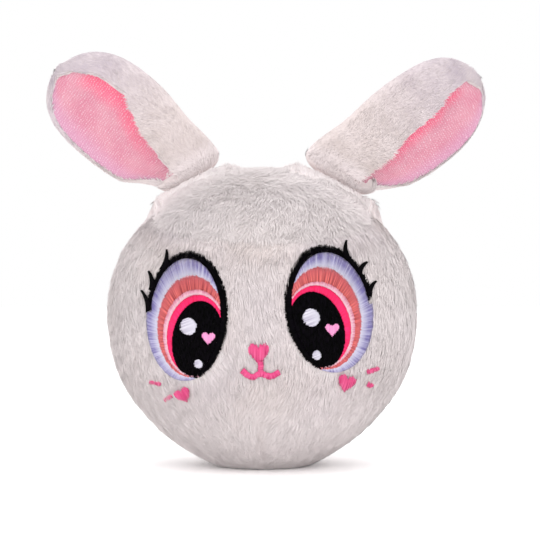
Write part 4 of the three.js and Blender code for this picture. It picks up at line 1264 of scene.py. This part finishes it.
def root_places(ear, rng):
    """Places, normals and nap of the pile on the ear's root."""
    reach = rng.uniform(-0.97, 0.97, EAR_ROOT_STRANDS)
    angle = rng.uniform(-0.3 * np.pi, 1.3 * np.pi, EAR_ROOT_STRANDS)
    places = root_points(ear, reach, angle)
    steepness = EAR_ROOT_POWER / 2 * EAR_ROOT_RADIUS / EAR_ROOT_HALF_LENGTH / root_fullness(reach)
    slopes = unit(np.stack([steepness * reach * np.abs(reach), np.cos(angle), np.sin(angle)], 1))
    upward = laid_on(np.array([0, 0, 1.0]) - slopes[:, 2:] * slopes + 1e-4, slopes)
    bare = (places[:, 1] < 0) & (root_dish(ear, places[:, 0], places[:, 2]) > EAR_ROOT_BARE)
    return places[~bare], slopes[~bare], upward[~bare]


def ear_pile(ear, seed):
    """Strands over the ear's skin and its root, apart from the lining."""
    rng = np.random.default_rng(seed)
    tries = EAR_PILE_TRIES * EAR_FRONT_STRANDS
    share = rng.uniform(0, EAR_TIP_SHARE, tries)
    angle = rng.uniform(0, 2 * np.pi, tries)
    step = 1e-3
    inward = np.where(share > 0.9, -1, 1)
    here = ear_ring_points(ear, share, angle, EAR_SKIN_INSET)
    along = ear_ring_points(ear, share + step * inward, angle, EAR_SKIN_INSET) - here
    along *= inward[:, None]
    round_it = ear_ring_points(ear, share, angle + step, EAR_SKIN_INSET) - here
    slope = np.cross(round_it, along)
    area = np.linalg.norm(slope, axis=1)
    across = np.cos(angle)
    edge = np.abs(across)
    inner, outer = lining_edges(ear, share)
    front = np.sin(angle) < 0
    lined = (across > inner - EAR_LINING_OVERLAP) & (across < outer) & (share > ear["lining"][0][0])
    kept = []
    halves = ((front & ~lined, EAR_FRONT_STRANDS), (~front & (edge < EAR_BACK_PILE_END), EAR_BACK_STRANDS))
    for place, count in halves:
        chance = np.where(place, area, 0)
        kept.append(rng.choice(tries, count, replace=False, p=chance / chance.sum()))
    keep = np.concatenate(kept)
    root_here, root_slope, root_nap = root_places(ear, rng)

    def joined(on_skin, on_root):
        return np.concatenate([on_skin[keep], on_root])

    flat_map = joined(np.c_[angle, share], 0.02 * root_here[:, :2] / EAR_ROOT_HALF_LENGTH)
    roots = joined(here, root_here)
    normals = joined(unit(slope), root_slope)
    number = len(roots)

    # Nap runs toward the tip, leans over the edges of the lining and lies flat at the sides
    from_roll = smoothstep(across, inner - EAR_ROLL_LEAN[0], inner - EAR_ROLL_LEAN[1])
    from_rim = fade(across, outer, outer + EAR_RIM_LEAN)
    lean_in = np.where(front, np.where(across < inner, from_roll, -from_rim), 0)[:, None]
    nap = joined(unit(unit(along) + EAR_EDGE_LEAN * lean_in * unit(round_it)), root_nap)
    at_edge = np.where(front, smoothstep(edge, *EAR_FRONT_EDGE), smoothstep(edge, *EAR_BACK_EDGE))
    loose = joined(1 - EAR_EDGE_HOLD * at_edge, np.ones(len(root_here)))
    broad = EAR_BROAD_SWIRL["degrees"] * waves(roots, EAR_BROAD_SWIRL["wavelength"], seed + 1)
    fine = EAR_FINE_SWIRL["degrees"] * waves(roots, EAR_FINE_SWIRL["wavelength"], seed + 2)
    swirl = broad + fine + rng.normal(0, EAR_SWIRL_SCATTER, number)
    nap = turn_about(nap, normals, np.radians(swirl * loose))
    length = EAR_PILE * rng.uniform(*EAR_PILE_LENGTH_RANGE, number)
    width = EAR_PILE_WIDTH * rng.uniform(*PILE_WIDTH_RANGE, number)
    lift = np.radians((EAR_LIFT + rng.normal(0, EAR_LIFT_SCATTER, number)) * loose)
    droop = np.radians((EAR_DROOP + rng.normal(0, EAR_DROOP_SCATTER, number)) * loose)
    points, shading = strand_points(roots, normals, nap, length, width, lift, droop, EAR_PILE_ROUNDING)
    outward = np.where(roots[:, 1:2] < 0, -1, np.sign(normals[:, 1:2]))
    shading[..., 1] += EAR_SHADE_TILT * loose[:, None] * outward

    # Painted light lifts the slopes beside the lining and the base of the ear
    on_edge = joined(front & (across > inner - EAR_EDGE_PAINTED_LIGHT_WIDTH), np.zeros(len(root_here), bool))
    tint = 0.5 + EAR_TINT_WAVE * waves(roots, EAR_TINT_WAVELENGTH, seed + 3)
    tint = tint + rng.normal(0, EAR_TINT_SCATTER, number)
    tint = tint + EAR_EDGE_PAINTED_LIGHT * on_edge * fade(np.abs(normals[:, 1]), *EAR_EDGE_PAINTED_LIGHT_SPAN)
    tint = tint + EAR_BASE_PAINTED_LIGHT * fade(roots[:, 2], *EAR_BASE_PAINTED_LIGHT_SPAN)
    cast = smoothstep(flat_map[:, 1], *EAR_CAST_SPAN) + rng.normal(0, CAST_SCATTER, number)
    turn, _ = ear_frame(ear)
    strands = (placed(ear, points), unit(shading) @ turn.T)
    return strands, flat_map, np.c_[tint, np.clip(cast, 0, 1)]


def knit_lining(ear, seed):
    """Knit lining: stitches stand up in rows across the ear."""
    rng = np.random.default_rng(seed)
    start = ear["lining"][0][0]
    end = ear["lining"][-1][0]
    rows = int((end - start) * ear["length"] / KNIT_STEP)
    columns = int(KNIT_WIDTH_SHARE * EAR_HALF_WIDTH / KNIT_STEP)
    share, over = np.meshgrid(np.linspace(start, end, rows), np.linspace(0, 1, columns), indexing="ij")
    inner, outer = lining_edges(ear, share)
    across = inner - KNIT_OVERLAP + (outer - inner + KNIT_OVERLAP) * over
    points = ear_points(ear, share, across, -1.0, EAR_SKIN_INSET)
    points[..., 1] -= KNIT_LIFT
    flat = points.reshape(-1, 3)
    uneven = [KNIT_UNEVEN * waves(flat, KNIT_UNEVEN_WAVELENGTH, seed + axis) for axis in (1, 2)]
    row_place = share * ear["length"] / KNIT_PITCH + uneven[0].reshape(rows, columns)
    stitch_place = across * EAR_HALF_WIDTH / KNIT_STITCH + 0.5 * np.floor(row_place)
    stitch_place = stitch_place + uneven[1].reshape(rows, columns)
    row_wave = 0.5 - 0.5 * np.cos(2 * np.pi * row_place)
    stitch_wave = 0.5 - 0.5 * np.cos(2 * np.pi * stitch_place)
    top = row_wave * blend(KNIT_GROOVE, 1, stitch_wave)
    points[..., 1] -= KNIT_HEIGHT * top
    # Painted glints: a random strength for each stitch, shown on the tops of the stitches
    glint_strength = rng.uniform(0, 1, KNIT_GLINT_CHOICES)
    stitch_number = (np.floor(row_place) * 61 + np.floor(stitch_place) * 17).astype(int) % KNIT_GLINT_CHOICES
    glint_strength = KNIT_PAINTED_GLINT["least"] + KNIT_PAINTED_GLINT["spread"] * glint_strength[stitch_number]
    # Painted shade: deep pink beside the roll, over a width of its own for each ear
    from_fold = (across - inner) * EAR_HALF_WIDTH
    fold_shade_strength = smoothstep(share, *KNIT_FOLD_SHADE_START) * fade(share, *KNIT_FOLD_SHADE_END)
    # Painted glints on the stitch tops, a painted mauve sheen toward the outer edge and painted shade in
    # deep pink beside the roll
    values = {
        "painted_glint": np.clip((top - KNIT_PAINTED_GLINT["floor"]) * KNIT_PAINTED_GLINT["gain"], 0, 1) * glint_strength,
        "rim": smoothstep(over, *KNIT_RIM_SHEEN_SPAN) * KNIT_RIM_SHEEN,
        "fold_shade": fade(from_fold, KNIT_FOLD_SHADE_WIDTH, KNIT_FOLD_SHADE_WIDTH + ear["fold_shade"]) * fold_shade_strength,
    }
    values = {key: value.ravel() for key, value in values.items()}
    faces = grid_faces(rows, columns, False, ear["side"] < 0)
    flat_map = np.stack([over, share], -1).reshape(-1, 2)
    return placed(ear, points.reshape(-1, 3)), faces, values, flat_map


def add_ear(name, ear, seed):
    body = f"{name}_ear"
    points, faces, flat_map = ear_shell(ear, EAR_SKIN_INSET, EAR_TIP_SHARE)
    root_points, root_faces, root_map = root_shell(ear)
    skin = make_piece(
        f"{name}_ear_skin",
        placed(ear, np.concatenate([points, root_points])),
        np.concatenate([faces, root_faces + len(points)]),
        body, BACKING, flat_map=np.concatenate([flat_map, root_map]),
    )
    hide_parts(f"{name}_ear_back")
    strands, flat_map, shades = ear_pile(ear, seed)
    front = np.arange(len(shades)) < EAR_FRONT_STRANDS
    for where, chosen in (("front", front), ("back", ~front)):
        add_pile(
            f"{name}_ear_{where}_pile", strands, chosen, flat_map, shades, body, EAR_PLUSH, ear["side"] < 0,
        )
    points, faces, values, flat_map = knit_lining(ear, seed + 7)
    lining = make_piece(f"{name}_ear_knit", points, faces, body, KNIT, values, flat_map)
    thicken(lining, KNIT_THICKNESS)
    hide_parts(f"{name}_ear_lining")
    points, faces, flat_map = ear_shell(ear, EAR_WAD_INSET, EAR_WAD_END, *EAR_WAD_GRID)
    lumps = [waves(points, EAR_WAD_WAVELENGTH, seed + axis) for axis in (8, 9, 10)]
    points = points + EAR_WAD_LUMPS * np.stack(lumps, 1)
    wad = make_piece(
        f"{name}_ear_wad", placed(ear, points), faces, body, FIBRE, flat_map=flat_map,
    )
    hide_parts(f"{name}_ear_filling")


# Stitches: raised threads laid on the ball between two places of the front elevation
def clipped(starts, ends, test):
    """The part of each line that lies in a region, where it has one."""
    count = int(np.linalg.norm(ends - starts, axis=1).max() / CLIP_STEP) + 2
    share = np.linspace(0, 1, count)
    x = starts[:, :1] + (ends[:, :1] - starts[:, :1]) * share
    z = starts[:, 1:] + (ends[:, 1:] - starts[:, 1:]) * share
    found = test(x, z)
    first = found.argmax(1)
    last = count - 1 - found[:, ::-1].argmax(1)
    rows = np.flatnonzero(found.any(1) & (last > first))
    begin = np.c_[x[rows, first[rows]], z[rows, first[rows]]]
    finish = np.c_[x[rows, last[rows]], z[rows, last[rows]]]
    return begin, finish


def rays(centre, count, test):
    """Lines outward from a centre, clipped to a region."""
    around = 2 * np.pi * np.arange(count) / count
    outward = np.c_[np.cos(around), np.sin(around)]
    starts = np.zeros((count, 2)) + centre
    return clipped(starts, starts + RAY_REACH * outward, test)


def rows_over(outline, degrees):
    """Parallel lines over an outline, clipped to it."""
    angle = math.radians(degrees)
    along = np.array([math.cos(angle), math.sin(angle)])
    across = np.array([-along[1], along[0]])
    places = outline @ across
    offsets = np.arange(places.min() + THREAD_PITCH / 2, places.max(), THREAD_PITCH)
    middle = outline.mean(0)
    reach = 1.2 * np.abs((outline - middle) @ along).max()
    base = offsets[:, None] * across + (middle @ along) * along
    return clipped(base - reach * along, base + reach * along, lambda x, z: inside(outline, x, z))


def broken(starts, ends, seed):
    """Long lines broken into stitches of about one length, staggered from row to row."""
    rng = np.random.default_rng(seed)
    begins = []
    finishes = []
    for start, end in zip(starts, ends):
        span = np.linalg.norm(end - start)
        marks = np.arange(-rng.uniform(0, 1), span / FILL_STITCH + 1) * FILL_STITCH
        marks = np.unique(np.clip(marks, 0, span))
        for low, high in zip(marks, marks[1:]):
            begins.append(start + (end - start) * low / span)
            finishes.append(start + (end - start) * high / span)
    return np.array(begins), np.array(finishes)


RING = np.array([(1.0, 0.0), (0.45, 0.8), (-0.45, 0.8), (-1.0, 0.0), (0.0, -0.7)])


def stitch_mesh(
    starts, ends, depth, seed, rise=THREAD_RISE, ragged=(0.5, 0.5), bow=0.0, pale=0.0, width=THREAD_WIDTH,
):
    """Tubes along the stitches, uneven at both ends, with their points, faces and material values."""
    rng = np.random.default_rng(seed)
    count = len(starts)
    along = unit(ends - starts)
    starts = starts - along * rng.uniform(0, ragged[0], (count, 1))
    ends = ends + along * rng.uniform(0, ragged[1], (count, 1))
    share = np.linspace(0, 1, STITCH_RINGS)
    hump = np.sin(np.pi * share) ** STITCH_HUMP_POWER
    across = np.stack([-along[:, 1], along[:, 0]], 1)
    place = starts[:, None] + (ends - starts)[:, None] * share[:, None]
    place = place + across[:, None] * (bow * 4 * share * (1 - share))[:, None]
    loft = np.minimum(rise, STITCH_LOFT_SHARE * np.linalg.norm(ends - starts, axis=1))
    sunk = depth - loft[:, None] * hump + rng.normal(0, STITCH_SCATTER, (count, 1))
    line = front_points(place[..., 0], place[..., 1], sunk)
    tangent = unit(np.gradient(line, axis=1))
    outward = unit(line - CENTRE)
    side = unit(np.cross(tangent, outward))
    upward = np.cross(side, tangent)
    fullness = np.sin(np.pi * np.clip(share, 0.04, 0.96)) ** STITCH_TAPER_POWER
    taper = blend(STITCH_END_WIDTH, 1, fullness)
    half = 0.5 * width * taper[:, None] * rng.uniform(*STITCH_WIDTH_RANGE, (count, 1, 1))
    sides = len(RING)
    rings = [line + side * half * x + upward * half * y for x, y in RING]
    points = np.stack(rings, 2).reshape(-1, 3)
    end_ring = (STITCH_RINGS - 1) * sides
    caps = [(0, corner, corner + 1) for corner in range(1, sides - 1)]
    caps += [(end_ring, end_ring + corner + 1, end_ring + corner) for corner in range(1, sides - 1)]
    faces = np.concatenate([halved(grid_faces(STITCH_RINGS, sides, True, True)), caps])
    faces = (np.arange(count)[:, None, None] * STITCH_RINGS * sides + faces).reshape(-1, 3)
    tint = np.clip(pale + rng.normal(STITCH_TINT, STITCH_TINT_SCATTER, count), 0, 1)
    values = {
        "tint": np.repeat(tint, STITCH_RINGS * sides),
        "tip": np.tile(np.repeat(share, sides), count),
    }
    return points, faces, values


def add_stitches(node, parts, material):
    """One embroidered piece out of several stitch meshes, in place of its CAD node."""
    points = np.concatenate([part[0] for part in parts])
    starts = np.cumsum([0] + [len(part[0]) for part in parts])
    faces = np.concatenate([part[1] + start for part, start in zip(parts, starts)])
    values = {key: np.concatenate([part[2][key] for part in parts]) for key in ("tint", "tip")}
    piece = make_piece(f"{node}_stitches", points, faces, "root", material, values, points[:, [0, 2]])
    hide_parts(node)


def add_fill(node, outline, degrees, depth, seed, material, ragged, width=THREAD_WIDTH):
    """An outline filled with close rows of stitches."""
    starts, ends = rows_over(outline, degrees)
    mesh = stitch_mesh(starts, ends, depth, seed, ragged=(ragged, ragged), width=width)
    add_stitches(node, [mesh], material)


def eye_tests(eye):
    """Regions of an eye, each as a test on places of the front elevation."""
    side = eye["side"]
    centre_x = side * eye["outline"][0]
    centre_z = eye["outline"][1]

    def turn_of(x, z):
        return np.degrees(np.arctan2(z - centre_z, side * (x - centre_x)))

    def reach(band, x, z):
        return reach_in(eye, band, x, z)

    def within(x, z):
        open_side = (turn_of(x, z) > OUTLINE_FOOT) & (turn_of(x, z) < OUTLINE_END)
        return (reach("lavender", x, z) < 1) | ((reach("outline", x, z) < 1) & open_side)

    def outline(x, z):
        turn = turn_of(x, z)
        near_end = (turn > OUTLINE_END) * fade(turn, OUTLINE_END, OUTLINE_END + OUTLINE_RUNOUT)
        return (reach("outline", x, z) < 1 - OUTLINE_THINNING * near_end) & ~within(x, z)

    def lavender(x, z):
        return within(x, z) & (reach("coral", x, z) >= 1) & (reach("pupil", x, z) >= 1)

    def pupil(x, z):
        return within(x, z) & (reach("pupil", x, z) < 1)

    def band(outer, inner):
        return lambda x, z: within(x, z) & (reach(outer, x, z) < 1) & (reach(inner, x, z) >= 1)

    tests = {"outline": outline, "lavender": lavender, "pupil": pupil}
    for outer, inner in (("coral", "pale"), ("pale", "magenta"), ("magenta", "pupil")):
        tests[outer] = band(outer, inner)
    return tests


# Satin bands of an eye: rays, height over the ground, ragged ends, whether stitched inward, slot, material
BANDS = {
    "lavender": (380, 0.0, (0.4, 2.4), True, "lavender_thread", LAVENDER),
    "coral": (360, 0.15, (2.0, 1.6), False, "coral_thread", CORAL),
    "pale": (330, 0.15, (1.2, 0.8), True, "pale_pink_thread", PALE),
    "magenta": (300, 0.35, (0.3, 0.6), False, "magenta_thread", MAGENTA),
}
PUPIL_HEIGHT = 0.2
PUPIL_RISE = 0.5


def add_eye(name, eye, seed):
    side = eye["side"]
    tests = eye_tests(eye)
    middle = np.array([side * eye["pupil"][0], eye["pupil"][1]])
    centre = np.array([side * eye["outline"][0], eye["outline"][1]])
    prefix = f"{name}_eye"

    starts, ends = rays(centre, OUTLINE_RAYS, tests["outline"])
    parts = [stitch_mesh(starts, ends, THREAD_DEPTH, seed, ragged=OUTLINE_RAGGED)]
    for values in eye["lashes"]:
        corners = lash(values, side)
        share = np.linspace(0, 1, LASH_STITCHES)[:, None]
        starts = blend(corners[0], corners[3], share)
        ends = blend(corners[1], corners[2], share)
        parts.append(stitch_mesh(starts, ends, LASH_DEPTH, seed + 1, bow=side * LASH_BOW))
    add_stitches(f"{prefix}_outline", parts, BLACK)

    for number, (band, (count, height, ragged, inward, slot, thread)) in enumerate(BANDS.items(), 2):
        starts, ends = rays(middle, count, tests[band])
        pale = 0.0
        if band == "lavender":
            deep = unit(ends - centre) @ [side * LAVENDER_DEEP_SIDE[0], LAVENDER_DEEP_SIDE[1]]
            pale = -LAVENDER_DEPTH * deep
        if inward:
            starts, ends = ends, starts
        parts = [stitch_mesh(starts, ends, THREAD_DEPTH - height, seed + number, ragged=ragged, pale=pale)]
        add_stitches(f"{prefix}_{band}_band", parts, thread)

    starts, ends = rows_over(ellipse(eye, "pupil"), UPRIGHT_ROWS)
    starts, ends = clipped(starts, ends, tests["pupil"])
    starts, ends = broken(starts, ends, seed + 6)
    depth = THREAD_DEPTH - PUPIL_HEIGHT
    parts = [stitch_mesh(starts, ends, depth, seed + 6, rise=PUPIL_RISE, width=FILL_WIDTH)]
    add_stitches(f"{prefix}_pupil", parts, BLACK)

    for glint in ("large_glint", "small_glint"):
        x, z, radius = eye[glint]
        add_fill(
            f"{prefix}_{glint}", disc(side * x, z, radius), GLINT_ROWS, TOP_THREAD_DEPTH, seed + 7,
            WHITE, GLINT_RAGGED, FILL_WIDTH,
        )
    x, z, size = eye["heart"]
    add_fill(
        f"{prefix}_heart", heart(side * x, z, size), UPRIGHT_ROWS, TOP_THREAD_DEPTH, seed + 8,
        HEART_PINK, EYE_HEART_RAGGED, FILL_WIDTH,
    )


def add_marks():
    """Nose, mouth and cheek marks."""
    shape = mark_outline(NOSE)
    add_fill("nose", shape, UPRIGHT_ROWS, MARK_DEPTH, NOSE_SEED, PINK, NOSE_RAGGED)
    line, across = stroke(MOUTH_POINTS, MOUTH_HALF_WIDTH)
    parts = [stitch_mesh(line - across, line + across, MARK_DEPTH, MOUTH_SEED, ragged=MOUTH_RAGGED)]
    stem_foot = MOUTH_POINTS[2]
    stem = stroke([stem_foot, (stem_foot[0], MOUTH_STEM_TOP)], MOUTH_HALF_WIDTH)
    line, across = (part[::STEM_SPACING] for part in stem)
    parts.append(stitch_mesh(line - across, line + across, MARK_DEPTH, STEM_SEED, ragged=STEM_RAGGED))
    add_stitches("mouth", parts, PINK)
    for seed, (node, mark) in enumerate(CHEEKS.items(), CHEEK_SEED):
        depth = MARK_DEPTH if "size" in mark else DASH_DEPTH
        rows = mark["tilt"] + UPRIGHT_ROWS
        add_fill(node, mark_outline(mark), rows, depth, seed, PINK, CHEEK_RAGGED)


def add_bladder():
    """Vinyl ball inside the cover, with faint weld lines and a hole for its valve."""
    low = -math.asin(REST_HEIGHT / BALL_RADIUS)
    elevation = np.linspace(low, math.pi / 2 - BLADDER_TOP_GAP, BLADDER_ROWS)
    around = 2 * np.pi * np.arange(BLADDER_COLUMNS) / BLADDER_COLUMNS
    elevation, around = np.meshgrid(elevation, around, indexing="ij")
    weld = np.exp(-(np.sin(WELD_COUNT / 2 * around.ravel()) / WELD_WIDTH) ** 2)
    directions = ball_directions(elevation, around).reshape(-1, 3)
    points, _ = ball_points(directions, BLADDER_DEPTH - WELD_RISE * weld)
    faces = grid_faces(BLADDER_ROWS, BLADDER_COLUMNS, True, False)
    middles = points[faces].mean(1) - CENTRE
    tilt = math.radians(VALVE_ELEVATION)
    axis = np.array([0, math.cos(tilt), math.sin(tilt)])
    from_valve = np.linalg.norm(middles - (middles @ axis)[:, None] * axis, axis=1)
    hole = (from_valve < VALVE_HOLE) & (middles @ axis > 0)
    flat_map = np.c_[around.ravel(), elevation.ravel()]
    piece = make_piece(
        "air_bladder_vinyl", points, faces[~hole], "root", VINYL, flat_map=flat_map,
    )
    thicken(piece, BLADDER_WALL)
    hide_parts("air_bladder")


# Finishes of the CAD nodes that show as they are
HARDWARE = {
    VALVE: ("valve_body", "valve_plug"),
    TAPE: ("zip_tape_left", "zip_tape_right"),
    TEETH: ("zip_teeth_left", "zip_teeth_right"),
    METAL: ("zip_top_stop", "zip_bottom_stop", "zip_slider", "zip_pull"),
}


def finish_hardware():
    for material, names in HARDWARE.items():
        for name in names:
            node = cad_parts[name]
            node.data.materials.clear()
            node.data.materials.append(material)


add_ball_skin()
add_ball_pile()
for ear_number, (ear_name, ear_sizes) in enumerate(EARS.items()):
    add_ear(ear_name, ear_sizes, EAR_SEED + SEED_STEP * ear_number)
for eye_number, (eye_name, eye_sizes) in enumerate(EYES.items()):
    add_eye(eye_name, eye_sizes, EYE_SEED + SEED_STEP * eye_number)
add_marks()
add_bladder()
finish_hardware()


# Studio: a white floor, a white world and two soft lamps in front
def white_to_camera(tree):
    """1 for rays that show the background itself, straight on or by way of metal or glass."""
    path = add_node(tree, "ShaderNodeLightPath").outputs
    seen = path["Is Camera Ray"]
    for kind in ("Is Glossy Ray", "Is Transmission Ray"):
        seen = add_node(tree, "ShaderNodeMath", (seen, path[kind]), operation="MAXIMUM").outputs[0]
    return seen


def add_floor():
    material, tree = new_material("pale_floor")
    plain = mix_colours(tree, noise(tree, 4.0), (0.92, 0.91, 0.91), (0.94, 0.93, 0.93))
    shown = mix_colours(tree, white_to_camera(tree), plain, (FLOOR_SHOWN, FLOOR_SHOWN, FLOOR_SHOWN))
    diffuse = add_node(tree, "ShaderNodeBsdfDiffuse", (shown,))
    add_node(tree, "ShaderNodeOutputMaterial", diffuse.outputs)
    mesh = bpy.data.meshes.new("floor")
    corners = [(x * FLOOR_HALF, y * FLOOR_HALF, 0) for x, y in ((-1, -1), (1, -1), (1, 1), (-1, 1))]
    mesh.from_pydata(corners, [], [(0, 1, 2, 3)])
    mesh.materials.append(material)
    floor = in_scene("floor", mesh)


def add_world():
    world = bpy.data.worlds.new("studio")
    world.use_nodes = True
    tree = world.node_tree
    tree.nodes.clear()
    lit = add_node(tree, "ShaderNodeBackground", ((1, 0.985, 0.99), WORLD_LIGHT))
    shown = add_node(tree, "ShaderNodeBackground", ((1, 1, 1), 1.0))
    both = add_node(tree, "ShaderNodeMixShader", (white_to_camera(tree), lit.outputs[0], shown.outputs[0]))
    add_node(tree, "ShaderNodeOutputWorld", both.outputs)
    bpy.context.scene.world = world


def aim(thing, target):
    direction = Vector(target) - thing.location
    thing.rotation_euler = direction.to_track_quat("-Z", "Y").to_euler()


def add_lamp(name, place, target, size, watts):
    data = bpy.data.lights.new(name, "AREA")
    data.shape = "SQUARE"
    data.size = size
    data.energy = watts
    lamp = in_scene(name, data)
    lamp.location = place
    aim(lamp, target)


def add_camera():
    data = bpy.data.cameras.new("camera")
    data.angle = math.radians(CAMERA_ANGLE)
    data.clip_end = CAMERA_REACH
    camera = in_scene("camera", data)
    tilt = math.radians(CAMERA_ELEVATION)
    up = CAMERA_DISTANCE * math.sin(tilt)
    camera.location = (0, -CAMERA_DISTANCE * math.cos(tilt), REST_HEIGHT * MM + up)
    aim(camera, CAMERA_AIM)
    bpy.context.scene.camera = camera


add_floor()
add_world()
for lamp_name, lamp_sizes in LAMPS.items():
    add_lamp(lamp_name, **lamp_sizes)
add_camera()
bpy.context.scene.view_settings.view_transform = "Standard"
